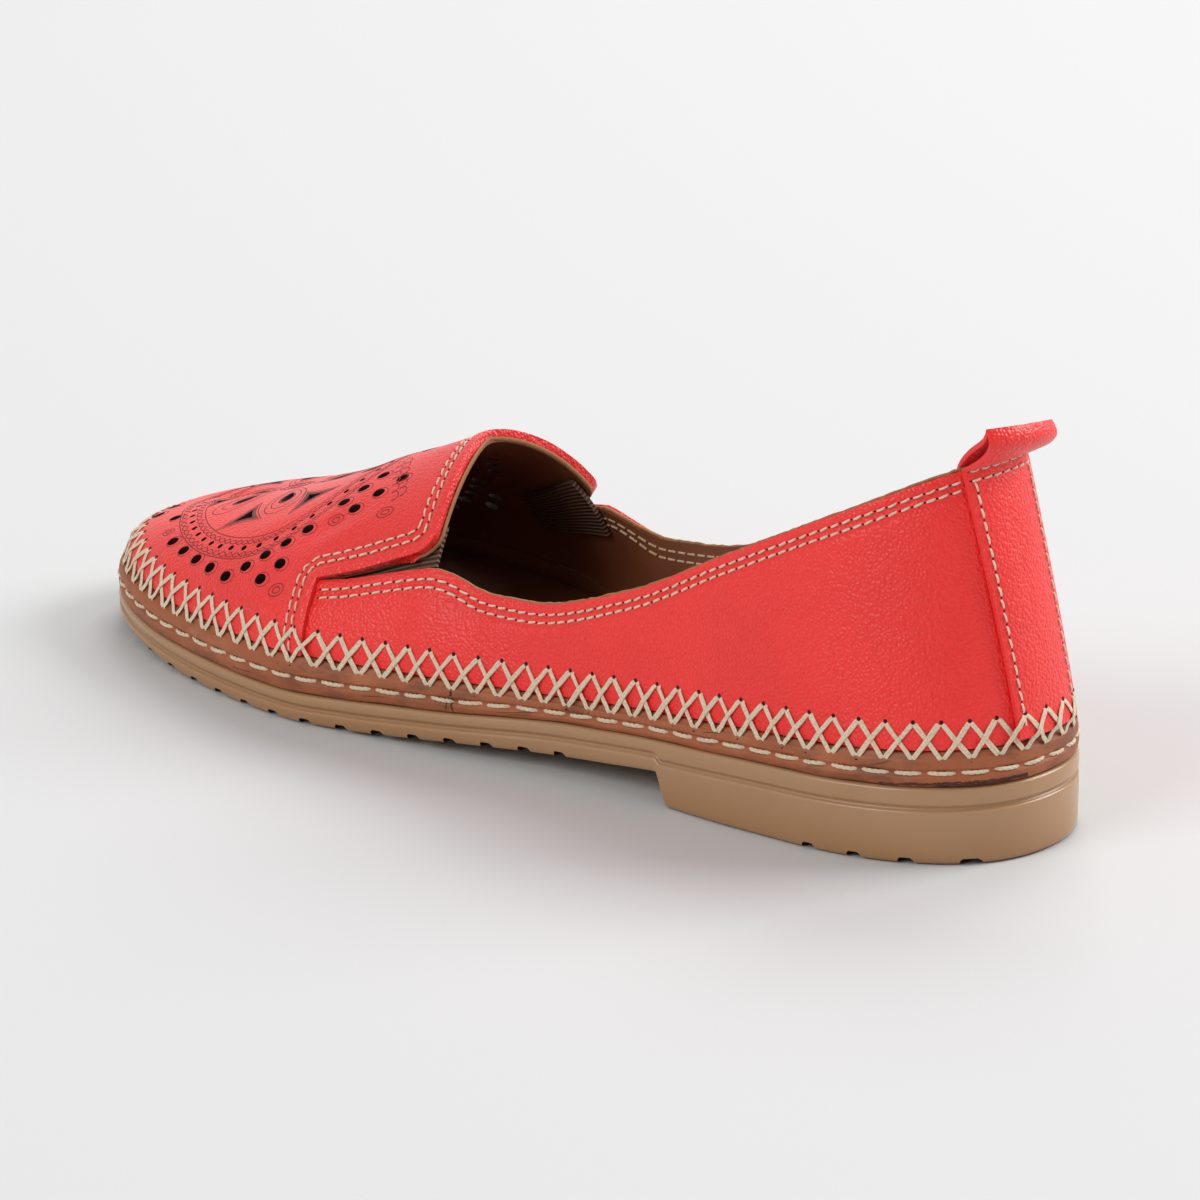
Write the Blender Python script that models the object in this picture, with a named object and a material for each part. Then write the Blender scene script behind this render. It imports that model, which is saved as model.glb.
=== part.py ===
"""A woman's slip-on loafer for the left foot, standing empty on its sole.

The origin is the rest point under the heel, +X runs to the toe, +Y to the outer (lateral) side
and +Z up. Every piece is worked out from one outline of the sole, one set of levels along it
and one skin of the last.
"""

import math

import bmesh
import bpy
import numpy as np
from mathutils import Vector

# Lengths from the back of the sole, in metres
LENGTH = 0.258
HEEL_REST = 0.035
BREAST_FORWARD = 0.080
THROAT_FORWARD = 0.141
LIP_FORWARD = 0.155
SEAM_FORWARD = 0.171
TOE_RIDGE_FORWARD = 0.236

# Widths
HEEL_WIDTH = 0.063
BALL_WIDTH = 0.0885
COLLAR_WIDTH = 0.056
HEEL_SWING = 0.0015
TOE_SWING = 0.004
RIDGE_SWING = 0.007

# Heights
HEEL_HEIGHT = 0.017
BREAST_HEIGHT = 0.007
TOE_SPRING = 0.0045
BAND_HEIGHT = 0.008
COLLAR_HEIGHT = 0.0823
MEDIAL_DROP = 0.002
LIP_HEIGHT = 0.0578

# Leather, board and gaps
WALL = 0.0018
VAMP_STEP = 0.001
UPPER_INSET = 0.0033
BAND_FLOOR = 0.0018
INSOLE_THICKNESS = 0.003
GAP = 0.0003
SIDE_GAP = 0.0006

# Sole edge
EDGE_ROUND = 0.0007
LIP_DEPTH = 0.0042
LIP_SHARE = 0.40
GROOVE_WIDTH = 0.0007
GROOVE_DEPTH = 0.0008
BOTTOM_ROUND = 0.0014
TREAD_WIDTH = 0.003
TREAD_DEPTH = 0.0013
TREAD_PITCH = 0.0092
TREAD_REACH = 0.021

# Stitch channel in the band
CHANNEL_SHARE = 0.42
CHANNEL_WIDTH = 0.0014
CHANNEL_DEPTH = 0.0005

# Elastic gores between the side panel and the tongue of the vamp
GORE_SLIT = 0.003
GORE_THICKNESS = 0.001
GORE_GAP = 0.0005
GORE_TUCK = 0.005

# Heel strip and its pull loop
STRIP_WIDTH = 0.019
STRIP_CENTRE = -0.002
STRIP_THICKNESS = 0.0012
LOOP_RISE = 0.0075
LOOP_LEAN = 0.0085
LOOP_TWIST = 0.11
LOOP_TUCK = 0.012

# Outline of the sole: half widths from the centre line, as shares of the half width there
OUTLINE = (
    # along, lateral, medial
    (0.00, 1.000, 1.000),
    (0.17, 0.990, 0.985),
    (0.25, 1.003, 0.952),
    (0.35, 0.970, 0.835),
    (0.45, 0.917, 0.735),
    (0.55, 0.916, 0.790),
    (0.62, 0.948, 0.877),
    (0.68, 1.010, 0.963),
    (0.73, 1.024, 1.010),
    (0.80, 1.026, 1.035),
    (0.87, 1.030, 1.020),
    (1.00, 1.030, 0.980),
)
HEEL_ROUND = (0.18, 2.2)
TOE_ROUND = (0.40, 2.35)

# Levels along the sole: top of the rubber by the heel height, brown band by its own height,
# and how far in the upper stands from the sole's edge by its greatest inset
LEVELS = (
    # along, rubber top, band, inset
    (0.00, 1.000, 0.97, 0.36),
    (0.20, 0.930, 0.82, 0.36),
    (0.40, 0.735, 0.68, 0.36),
    (0.55, 0.510, 0.90, 0.38),
    (0.70, 0.385, 1.02, 0.60),
    (0.85, 0.400, 0.98, 0.90),
    (0.94, 0.450, 0.94, 1.00),
    (1.00, 0.505, 0.86, 1.00),
)

# Underside ahead of the heel breast: arch by the breast height, spring by the toe spring
UNDERSIDE = (
    # along, arch, spring
    (0.31, 1.00, 0.00),
    (0.36, 0.82, 0.00),
    (0.50, 0.41, 0.00),
    (0.62, 0.05, 0.00),
    (0.68, 0.00, 0.00),
    (0.78, 0.00, 0.00),
    (0.90, 0.00, 0.35),
    (1.00, 0.00, 1.00),
)

# Top line of the back part, for the skin that rises from each place along the sole
TOPLINE = (
    # base along, top along, lateral, medial, height, bulge
    (0.000, 0.0510, 0.880, 0.880, 0.992, 1.15),
    (0.020, 0.0580, 0.880, 0.880, 0.986, 1.15),
    (0.050, 0.0770, 0.880, 0.880, 0.960, 1.15),
    (0.100, 0.1150, 0.875, 0.875, 0.901, 1.20),
    (0.170, 0.1700, 0.872, 0.872, 0.816, 1.30),
    (0.250, 0.2450, 0.930, 0.930, 0.697, 1.40),
    (0.350, 0.3450, 1.000, 1.000, 0.537, 1.50),
    (0.450, 0.4520, 1.020, 1.020, 0.434, 1.60),
    (0.500, 0.5050, 1.010, 1.010, 0.425, 1.70),
    (0.546, 0.5590, 1.000, 1.000, 0.458, 1.80),
)
COLLAR_ROUND = (0.17, 2.3)

# Ridge of the vamp from the lip to the toe, and how square the skin turns over
RIDGE = (
    # along, height, swing, square
    (0.00, 1.000, 0.00, 1.80),
    (0.16, 0.895, 0.15, 1.80),
    (0.33, 0.792, 0.35, 1.80),
    (0.48, 0.690, 0.50, 1.80),
    (0.69, 0.565, 0.75, 1.80),
    (0.84, 0.490, 0.90, 1.85),
    (1.00, 0.402, 1.00, 1.90),
)
SEAM_TURN = 0.456

# Pierced ornament of the vamp: rows of ovals, mirrored, from their first hole by even steps
OVAL_ROWS = (
    # along, turn, step along, step turn, count
    (0.984, 0.416, -0.0380, 0.088, 2),
    (0.897, 0.361, -0.0288, -0.022, 5),
    (0.762, 0.339, -0.0170, 0.063, 4),
    (0.733, 0.295, -0.0150, 0.077, 2),
    (0.688, 0.648, -0.0110, 0.070, 3),
    (0.665, 0.615, -0.0190, 0.065, 3),
)
MIDDLE_OVALS = ((0.995, 0.500), (0.649, 1.000))
OVAL_LONG = 0.0033
OVAL_SHORT = 0.0025

# The leaf shaped holes inside the ornament, mirrored, each pointing away from its middle
LEAVES = (
    # along, turn, length, width
    (0.935, 0.760, 0.0058, 0.0036),
    (0.847, 0.640, 0.0066, 0.0044),
    (0.790, 0.790, 0.0064, 0.0040),
)
LEAF_CENTRE = (0.855, 1.000)
LEAF_SHAPE = (
    # ahead, across
    (-0.42, 0.00),
    (-0.34, -0.42),
    (-0.10, -0.50),
    (0.58, 0.00),
    (-0.10, 0.50),
    (-0.34, 0.42),
)

# How many faces the long forms have
HEEL_STEPS = 22
GORE_STEPS = 4
TOE_STEPS = 16
SIDE_ROWS = 6
VAMP_ROWS = 8


def column(table, number, share):
    """Reads one column of a table at a share along, on a smooth curve that never overshoots."""
    x = np.array([row[0] for row in table])
    y = np.array([row[number] for row in table])
    h = np.diff(x)
    rise = np.diff(y) / h
    slope = np.empty(len(x))
    slope[0] = rise[0]
    slope[-1] = rise[-1]
    for i in range(1, len(x) - 1):
        same = rise[i - 1] * rise[i] > 0
        slope[i] = 2 * rise[i - 1] * rise[i] / (rise[i - 1] + rise[i]) if same else 0.0
    share = np.clip(share, x[0], x[-1])
    i = np.clip(np.searchsorted(x, share, side="right") - 1, 0, len(x) - 2)
    t = (share - x[i]) / h[i]
    start = (1 + 2 * t) * (1 - t) ** 2 * y[i] + t * (1 - t) ** 2 * h[i] * slope[i]
    end = t * t * (3 - 2 * t) * y[i + 1] - t * t * (1 - t) * h[i] * slope[i + 1]
    return start + end


def ease(share, start, end):
    t = np.clip((share - start) / (end - start), 0.0, 1.0)
    return t * t * (3 - 2 * t)


def rounding(distance, shape):
    """Half width of a round end as a share, by the distance from its tip."""
    reach, power = shape
    t = np.clip(1 - distance / reach, 0.0, 1.0)
    return (1 - t**power) ** (1 / power)


def centre_line(share):
    return -HEEL_SWING * (1 - ease(share, 0.0, 0.25)) - TOE_SWING * ease(share, 0.45, 1.0)


def outline(share, side):
    """Y of the sole's edge on the lateral (side 1) or medial (side -1) side."""
    half = (HEEL_WIDTH + (BALL_WIDTH - HEEL_WIDTH) * ease(share, 0.30, 0.65)) / 2
    half = half * column(OUTLINE, 1 if side > 0 else 2, share)
    ends = rounding(share, HEEL_ROUND) * rounding(1 - share, TOE_ROUND)
    return centre_line(share) + side * half * ends


def along(share):
    """X of a share of the length, from the rest point under the heel."""
    return share * LENGTH - HEEL_REST


def rubber_top(share):
    return HEEL_HEIGHT * column(LEVELS, 1, share)


def band_top(share):
    return rubber_top(share) + BAND_HEIGHT * column(LEVELS, 2, share)


def underside(share):
    """Height of the sole's bottom ahead of the heel breast."""
    arch = BREAST_HEIGHT * column(UNDERSIDE, 1, share)
    return arch + TOE_SPRING * column(UNDERSIDE, 2, share)


def ring(stations, inset=0.0):
    """Points round the sole at these shares, set in: heel, lateral side, toe, medial side."""
    turn = np.linspace(0, math.pi, 721)
    dense = (1 - np.cos(turn)) / 2
    sides = []
    for side in (1, -1):
        points = np.column_stack([along(dense), outline(dense, side)])
        slope = np.gradient(points, turn, axis=0)
        normal = np.column_stack([slope[:, 1], -slope[:, 0]]) * -side
        normal /= np.linalg.norm(normal, axis=1)[:, None]
        normal[0] = (-1, 0)
        normal[-1] = (1, 0)
        at = np.arccos(np.clip(1 - 2 * np.asarray(stations), -1, 1))
        place = np.column_stack([along(np.asarray(stations)), outline(np.asarray(stations), side)])
        out = np.column_stack([np.interp(at, turn, normal[:, i]) for i in (0, 1)])
        out /= np.linalg.norm(out, axis=1)[:, None]
        sides.append((place, out))
    (lateral, lateral_out), (medial, medial_out) = sides
    places = np.concatenate([lateral, medial[-2:0:-1]])
    outs = np.concatenate([lateral_out, medial_out[-2:0:-1]])
    return places - outs * np.broadcast_to(inset, (len(places),))[:, None]


def ring_shares(stations):
    stations = np.asarray(stations)
    return np.concatenate([stations, stations[-2:0:-1]])


def heel_to(share, steps):
    """Stations from the heel tip to a share, close together round the heel."""
    return share * (1 - np.cos(np.linspace(0, math.pi / 2, steps + 1)))


def toe_from(share, steps):
    """Stations from a share to the toe tip, close together round the toe."""
    return share + (1 - share) * np.sin(np.linspace(0, math.pi / 2, steps + 1))


def material(name, colour, roughness):
    made = bpy.data.materials.new(name)
    made.use_nodes = True
    shader = made.node_tree.nodes["Principled BSDF"]
    shader.inputs["Base Color"].default_value = (*colour, 1)
    shader.inputs["Roughness"].default_value = roughness
    shader.inputs["Metallic"].default_value = 0.0
    return made


def add_object(name, bm, finish=None):
    mesh = bpy.data.meshes.new(name)
    bm.to_mesh(mesh)
    bm.free()
    made = bpy.data.objects.new(name, mesh)
    bpy.context.scene.collection.objects.link(made)
    if finish:
        mesh.materials.append(finish)
    mesh.shade_smooth()
    mesh.set_sharp_from_angle(angle=math.radians(40))
    return made


def cut(target, cutter):
    cutter.hide_render = True
    cutter.display_type = "WIRE"
    modifier = target.modifiers.new(cutter.name, "BOOLEAN")
    modifier.operation = "DIFFERENCE"
    modifier.object = cutter


def add_ring(bm, points, height):
    height = np.broadcast_to(height, (len(points),))
    return [bm.verts.new((x, y, z)) for (x, y), z in zip(points, height)]


def bridge(bm, lower, upper):
    """Faces between two rings of as many points, facing out when upper lies above lower."""
    for i in range(len(lower)):
        j = (i + 1) % len(lower)
        bm.faces.new((lower[j], lower[i], upper[i], upper[j]))


def close_ring(bm, verts, up):
    """A cap across a ring, from side to side."""
    half = len(verts) // 2
    for i in range(half):
        corners = [verts[i], verts[i + 1], verts[(-i - 1) % len(verts)], verts[-i % len(verts)]]
        corners = list(dict.fromkeys(corners))
        bm.faces.new(corners if not up else corners[::-1])


def sole_stations():
    breast = BREAST_FORWARD / LENGTH
    corner = 0.0035 / LENGTH
    back = heel_to(breast - corner, 16)
    front = toe_from(breast + 0.4 * corner, 22)
    return np.concatenate([back, [breast - 0.4 * corner, breast], front])


def sole_bottom(stations):
    breast = BREAST_FORWARD / LENGTH
    corner = 0.0035 / LENGTH
    rise = np.interp(stations, [breast - corner, breast - 0.4 * corner, breast], [0, 0.15, 0.55])
    return np.where(stations > breast, underside(stations), rise * BREAST_HEIGHT)


def build_outsole(finish):
    stations = sole_stations()
    shares = ring_shares(stations)
    top = rubber_top(shares)
    bottom = sole_bottom(shares)
    lip = np.minimum(LIP_DEPTH, LIP_SHARE * (top - bottom))
    groove = lip + GROOVE_WIDTH
    levels = (
        (BOTTOM_ROUND, bottom),
        (BOTTOM_ROUND * 0.3, bottom + BOTTOM_ROUND * 0.7),
        (0.0, top - groove - GROOVE_WIDTH * 0.6),
        (GROOVE_DEPTH, top - groove),
        (GROOVE_DEPTH, top - lip),
        (0.0, top - lip + GROOVE_WIDTH * 0.6),
        (0.0, top - EDGE_ROUND),
        (EDGE_ROUND, top),
    )
    bm = bmesh.new()
    rings = [add_ring(bm, ring(stations, inset), height) for inset, height in levels]
    for lower, upper in zip(rings, rings[1:]):
        bridge(bm, lower, upper)
    close_ring(bm, rings[0], up=False)
    close_ring(bm, rings[-1], up=True)
    bmesh.ops.recalc_face_normals(bm, faces=bm.faces)
    outsole = add_object("outsole", bm, finish)
    cut(outsole, build_tread())
    return outsole


def tread_places():
    """X shares of the notches: along the forefoot and the waist, and round the back of the heel."""
    pitch = TREAD_PITCH / LENGTH
    ahead = np.arange(0.41, 0.955, pitch)
    behind = np.arange(0.025, 0.5 * BREAST_FORWARD / LENGTH, pitch * 1.15)
    return [(share, True) for share in ahead] + [(share, False) for share in behind]


def build_tread():
    bm = bmesh.new()
    for share, is_ahead in tread_places():
        floor = underside(share) if is_ahead else 0.0
        for side in (1, -1):
            edge = outline(share, side)
            reach = min(TREAD_REACH, abs(edge) * 0.55)
            start = edge - side * reach
            end = edge + side * 0.01
            box = bmesh.ops.create_cube(bm, size=1.0)["verts"]
            size = (TREAD_WIDTH, abs(end - start), 0.006 + TREAD_DEPTH)
            centre = (along(share), (start + end) / 2, floor + TREAD_DEPTH - size[2] / 2)
            bmesh.ops.scale(bm, vec=size, verts=box)
            bmesh.ops.translate(bm, vec=centre, verts=box)
    return add_object("tread_cutter", bm)


def build_midsole(finish):
    """The leather-covered band and its floor: a shallow tray that the upper stands on."""
    stations = np.concatenate([heel_to(0.5, 20), toe_from(0.5, 22)[1:]])
    shares = ring_shares(stations)
    foot = rubber_top(shares) + GAP
    top = band_top(shares)
    channel = foot + (top - foot) * CHANNEL_SHARE
    floor = foot + BAND_FLOOR
    support = UPPER_INSET * column(LEVELS, 3, shares) + WALL
    edge = support - WALL - np.where(shares > SEAM_FORWARD / LENGTH, VAMP_STEP, 0.0)
    levels = (
        (0.0008, foot),
        (0.0003, foot + 0.0006),
        (0.0002, channel - CHANNEL_WIDTH / 2),
        (0.0002 + CHANNEL_DEPTH, channel),
        (0.0002, channel + CHANNEL_WIDTH / 2),
        (edge * 0.35, channel + (top - channel) * 0.62),
        (edge - 0.0003, top - 0.0006),
        (edge + 0.0002, top),
        (support, top),
        (support, floor),
    )
    bm = bmesh.new()
    rings = [add_ring(bm, ring(stations, inset), height) for inset, height in levels]
    for lower, upper in zip(rings, rings[1:]):
        bridge(bm, lower, upper)
    close_ring(bm, rings[0], up=False)
    close_ring(bm, rings[-1], up=True)
    bmesh.ops.recalc_face_normals(bm, faces=bm.faces)
    return add_object("midsole", bm, finish)


def build_insole(finish):
    stations = np.concatenate([heel_to(0.5, 14), toe_from(0.5, 16)[1:]])
    shares = ring_shares(stations)
    foot = rubber_top(shares) + GAP + BAND_FLOOR + GAP
    top = foot + INSOLE_THICKNESS
    inset = UPPER_INSET * column(LEVELS, 3, shares) + WALL + SIDE_GAP
    levels = ((inset, foot), (inset, top - 0.0008), (inset + 0.0008, top))
    bm = bmesh.new()
    rings = [add_ring(bm, ring(stations, edge), height) for edge, height in levels]
    for lower, upper in zip(rings, rings[1:]):
        bridge(bm, lower, upper)
    close_ring(bm, rings[0], up=False)
    close_ring(bm, rings[-1], up=True)
    bmesh.ops.recalc_face_normals(bm, faces=bm.faces)
    return add_object("insole", bm, finish)


def turn_over(rise, square):
    """How far in the skin has come, as a share, when it has risen by a share."""
    return 1 - (1 - np.clip(rise, 0, 1) ** square) ** (1 / square)


def ridge_place(share):
    """Where along the ridge the skin from this place of the sole's edge ends: 0 lip, 1 toe."""
    throat = THROAT_FORWARD / LENGTH
    return np.clip((share - throat) / (1 - throat), 0, 1)


def ridge_point(place):
    x = LIP_FORWARD + (TOE_RIDGE_FORWARD - LIP_FORWARD) * place - HEEL_REST
    y = -RIDGE_SWING * column(RIDGE, 2, place)
    return np.array([x, y, LIP_HEIGHT * column(RIDGE, 1, place)])


def base_point(share, side):
    """Foot of the skin, where it stands on the band."""
    stations = np.array([0.0, share, 1.0])
    spot = ring(stations, UPPER_INSET * column(LEVELS, 3, share))
    x, y = spot[1] if side > 0 else spot[3]
    return np.array([x, y, band_top(share) + GAP])


def topline_point(share, side):
    """Top edge of the back part, for the skin that rises from this place of the sole's edge."""
    share = share * (TOPLINE[-1][0] * LENGTH / THROAT_FORWARD)
    top = column(TOPLINE, 1, share)
    back = TOPLINE[0][1]
    half = COLLAR_WIDTH / 2 * column(TOPLINE, 2 if side > 0 else 3, share)
    y = side * half * rounding(top - back, COLLAR_ROUND)
    height = COLLAR_HEIGHT * column(TOPLINE, 4, share)
    if side < 0:
        height -= MEDIAL_DROP * ease(share, 0.1, 0.35)
    return np.array([along(top), y + centre_line(top), height])


def back_skin(share, side, rise):
    """Skin of the back part: rise 0 at the band, 1 at the top line."""
    foot = base_point(share, side)
    top = topline_point(share, side)
    inward = rise ** column(TOPLINE, 5, share)
    return np.array([*(foot[:2] + (top[:2] - foot[:2]) * inward), foot[2] + (top[2] - foot[2]) * rise])


def vamp_skin(share, side, rise):
    """Skin of the front part: rise 0 at the band, 1 at the ridge."""
    foot = base_point(share, side)
    place = ridge_place(share)
    top = ridge_point(place)
    inward = turn_over(rise, column(RIDGE, 3, place))
    return np.array([*(foot[:2] + (top[:2] - foot[:2]) * inward), foot[2] + (top[2] - foot[2]) * rise])


def side_rise(share):
    """Rise of the side panel's top edge, from the throat to the seam and on round the toe."""
    throat = THROAT_FORWARD / LENGTH
    seam = SEAM_FORWARD / LENGTH
    foot = band_top(throat) + GAP
    edge = TOPLINE[-1][4] * COLLAR_HEIGHT
    start = (edge - foot) / (LIP_HEIGHT - foot)
    return start + (SEAM_TURN - start) * ease(share, throat, seam)


def wing_rise(share):
    """Rise of the vamp's lower edge over the gore: the slit narrows to nothing at the seam."""
    throat = THROAT_FORWARD / LENGTH
    seam = SEAM_FORWARD / LENGTH
    open_share = np.clip((seam - share) / (seam - throat), 0, 1) ** 0.7
    return side_rise(share) + GORE_SLIT / (LIP_HEIGHT - band_top(throat)) * open_share


def upper_stations():
    throat = THROAT_FORWARD / LENGTH
    seam = SEAM_FORWARD / LENGTH
    gore = np.linspace(throat, seam, GORE_STEPS + 1)
    ahead = toe_from(seam + GAP / LENGTH, TOE_STEPS)
    return np.concatenate([heel_to(throat, HEEL_STEPS), gore[1:], ahead])


def turn_rise(start, turn, square):
    """Rises that step evenly round the curve, from a rise to the ridge."""
    low = math.asin(start ** (square / 2))
    angle = low + (math.pi / 2 - low) * turn
    return math.sin(angle) ** (2 / square)


def build_upper(finish):
    """One hollow leather wall: two skins joined at the top line, the lip, the slits and the foot."""
    stations = upper_stations()
    throat = HEEL_STEPS
    seam = HEEL_STEPS + GORE_STEPS
    toe = len(stations) - 1
    keys = [(k, 1) for k in range(toe + 1)] + [(k, -1) for k in range(toe - 1, 0, -1)]

    skin = bmesh.new()
    spots = {}

    def spot(kind, k, side, row):
        if k in (0, toe):
            side = 1
        if kind == "wing" and row == VAMP_ROWS:
            side = 1
        if kind == "wing" and row == 0 and k >= seam:
            kind, row = "side", SIDE_ROWS
        key = (kind, k, side, row)
        if key not in spots:
            share = stations[k]
            if kind == "side" and k <= throat:
                place = back_skin(share, side, row / SIDE_ROWS)
            elif kind == "side":
                place = vamp_skin(share, side, side_rise(share) * row / SIDE_ROWS)
            else:
                square = column(RIDGE, 3, ridge_place(share))
                rise = turn_rise(wing_rise(share), row / VAMP_ROWS, square)
                place = vamp_skin(share, side, rise)
            spots[key] = skin.verts.new(place)
        return key

    faces = []
    for i, (k, side) in enumerate(keys):
        after, after_side = keys[(i + 1) % len(keys)]
        for row in range(SIDE_ROWS):
            faces.append(("side", k, side, after, after_side, row))
        if min(k, after) >= throat:
            for row in range(VAMP_ROWS):
                faces.append(("wing", k, side, after, after_side, row))
    corners = []
    for kind, k, side, after, after_side, row in faces:
        four = (
            spot(kind, after, after_side, row),
            spot(kind, k, side, row),
            spot(kind, k, side, row + 1),
            spot(kind, after, after_side, row + 1),
        )
        four = tuple(dict.fromkeys(four))
        if len(four) > 2:
            corners.append((kind, k, after, four))
            skin.faces.new([spots[key] for key in four])
    skin.normal_update()

    bm = bmesh.new()
    inner = {}
    outer = {}
    for key, vert in spots.items():
        kind, k, side, row = key
        normal = vert.normal.copy()
        if kind == "side" and row == 0:
            normal.z = 0
            normal.normalize()
        inner[key] = bm.verts.new(vert.co - normal * WALL)
        is_vamp = kind == "wing" or k > seam
        outer[key] = bm.verts.new(vert.co + normal * (VAMP_STEP if is_vamp else 0.0))
        if kind == "side" and row == SIDE_ROWS and k == seam:
            outer[("step", k, side, row)] = bm.verts.new(vert.co + normal * VAMP_STEP)

    def outer_of(key, kind):
        if kind == "wing" and key[0] == "side" and key[1] == seam:
            return outer[("step", *key[1:])]
        return outer[key]

    for kind, k, after, four in corners:
        bm.faces.new([outer_of(key, kind) for key in four])
        bm.faces.new([inner[key] for key in reversed(four)])
    for side in (1, -1):
        at_seam = outer[("side", seam, side, SIDE_ROWS)]
        step = outer[("step", seam, side, SIDE_ROWS)]
        ahead = outer[("side", seam + 1, side, SIDE_ROWS)]
        back = inner[("side", seam, side, SIDE_ROWS)]
        bm.faces.new((at_seam, ahead, step))
        bm.faces.new((at_seam, step, back))

    def rim(keys_in_order, kind):
        for first, second in zip(keys_in_order, keys_in_order[1:]):
            bm.faces.new(
                (outer_of(first, kind), outer_of(second, kind), inner[second], inner[first])
            )

    foot = [spot("side", k, side, 0) for k, side in keys]
    rim(foot + foot[:1], "side")
    top = [spot("side", k, -1, SIDE_ROWS) for k in range(seam, 0, -1)]
    top += [spot("side", k, 1, SIDE_ROWS) for k in range(0, seam + 1)]
    rim(top, "side")
    lip = [spot("wing", k, -1, 0) for k in range(seam, throat, -1)]
    lip += [spot("wing", throat, -1, row) for row in range(VAMP_ROWS)]
    lip += [spot("wing", throat, 1, row) for row in range(VAMP_ROWS, 0, -1)]
    lip += [spot("wing", k, 1, 0) for k in range(throat, seam + 1)]
    rim(lip, "wing")
    skin.free()
    bmesh.ops.recalc_face_normals(bm, faces=bm.faces)
    return add_object("upper", bm, finish)


def vamp_spot(share, turn, side):
    """A point of the vamp's skin by its turn, 0 at the band and 1 at the ridge, and its normal."""
    rise = turn_rise(0.0, turn, column(RIDGE, 3, ridge_place(share)))
    return skin_frame(vamp_skin, share, side, min(rise, 0.998))


def add_punch(bm, place, normal, ahead, outline_points):
    """A straight prism through the wall, its outline given as (ahead, across) offsets."""
    across = normal.cross(ahead).normalized()
    ahead = across.cross(normal).normalized()
    ends = []
    for depth in (-2.2 * WALL, 1.6 * WALL):
        middle = place + normal * depth
        ends.append([bm.verts.new(middle + ahead * a + across * b) for a, b in outline_points])
    low, high = ends
    for i in range(len(low)):
        j = (i + 1) % len(low)
        bm.faces.new((low[i], low[j], high[j], high[i]))
    bm.faces.new(low[::-1])
    bm.faces.new(high)


def build_punches():
    """Every hole of the ornament as one cutter."""
    turns = np.linspace(0, 2 * math.pi, 8, endpoint=False)
    oval = [(OVAL_LONG / 2 * math.cos(t), OVAL_SHORT / 2 * math.sin(t)) for t in turns]
    holes = [(*spot, side) for spot, side in zip(MIDDLE_OVALS, (1, 1))]
    for along_first, turn_first, step_along, step_turn, count in OVAL_ROWS:
        for i in range(count):
            for side in (1, -1):
                holes.append((along_first + i * step_along, turn_first + i * step_turn, side))
    bm = bmesh.new()
    for share, turn, side in holes:
        place, normal = vamp_spot(share, turn, side)
        add_punch(bm, place, normal, Vector((1, 0, 0)), oval)
    heart, _ = vamp_spot(*LEAF_CENTRE, 1)
    for share, turn, length, width in LEAVES:
        leaf = [(length * a, width * b) for a, b in LEAF_SHAPE]
        for side in (1, -1):
            place, normal = vamp_spot(share, turn, side)
            add_punch(bm, place, normal, place - heart, leaf)
    bmesh.ops.recalc_face_normals(bm, faces=bm.faces)
    return add_object("punch_cutter", bm)


def add_sheet(name, grid_out, grid_in, finish):
    """A closed sheet between two grids of points, each as many rows by as many columns."""
    bm = bmesh.new()
    out = [[bm.verts.new(p) for p in row] for row in grid_out]
    back = [[bm.verts.new(p) for p in row] for row in grid_in]
    rows = len(out) - 1
    columns = len(out[0]) - 1
    for r in range(rows):
        for c in range(columns):
            bm.faces.new((out[r][c], out[r][c + 1], out[r + 1][c + 1], out[r + 1][c]))
            bm.faces.new((back[r][c + 1], back[r][c], back[r + 1][c], back[r + 1][c + 1]))
    edge = [(0, c) for c in range(columns)] + [(r, columns) for r in range(rows)]
    edge += [(rows, c) for c in range(columns, 0, -1)] + [(r, 0) for r in range(rows, 0, -1)]
    for (r, c), (s, d) in zip(edge, edge[1:] + edge[:1]):
        bm.faces.new((out[s][d], out[r][c], back[r][c], back[s][d]))
    bmesh.ops.recalc_face_normals(bm, faces=bm.faces)
    return add_object(name, bm, finish)


def skin_frame(skin, share, side, rise):
    """A point of a skin and the direction out of the shoe there."""
    small = 0.001
    low = max(rise - small, 0.0)
    place = skin(share, side, rise)
    up = skin(share, side, low + 2 * small) - skin(share, side, low)
    ahead = skin(share + small, side, rise) - skin(share - small, side, rise)
    normal = Vector(np.cross(up, ahead) * side).normalized()
    return Vector(place), normal


def build_gore(side, finish):
    """Elastic behind the slit, tucked under the side panel and under the vamp."""
    stations = upper_stations()[HEEL_STEPS : HEEL_STEPS + GORE_STEPS + 1]
    outside = []
    inside = []
    for share in stations:
        panel = back_skin if share == stations[0] else vamp_skin
        edge = 1.0 if share == stations[0] else side_rise(share)
        panel_height = band_height_to(panel, share, side, edge)
        tuck = GORE_TUCK / panel_height
        spots = [skin_frame(panel, share, side, edge * (1 - tuck * part)) for part in (1.0, 0.5, 0.0)]
        wing = wing_rise(share)
        tuck = GORE_TUCK / (ridge_point(ridge_place(share))[2] - band_top(share))
        spots += [skin_frame(vamp_skin, share, side, wing + tuck * part) for part in (0.0, 0.5, 1.0)]
        depth = WALL + GORE_GAP
        if share == stations[-1]:
            del spots[3]
            spots.insert(3, (spots[2][0].lerp(spots[3][0], 0.5), spots[2][1]))
        outside.append([place - normal * depth for place, normal in spots])
        inside.append([place - normal * (depth + GORE_THICKNESS) for place, normal in spots])
    return add_sheet(f"gore_{'lateral' if side > 0 else 'medial'}", outside, inside, finish)


def band_height_to(skin, share, side, rise):
    return skin(share, side, rise)[2] - skin(share, side, 0.0)[2]


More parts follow.
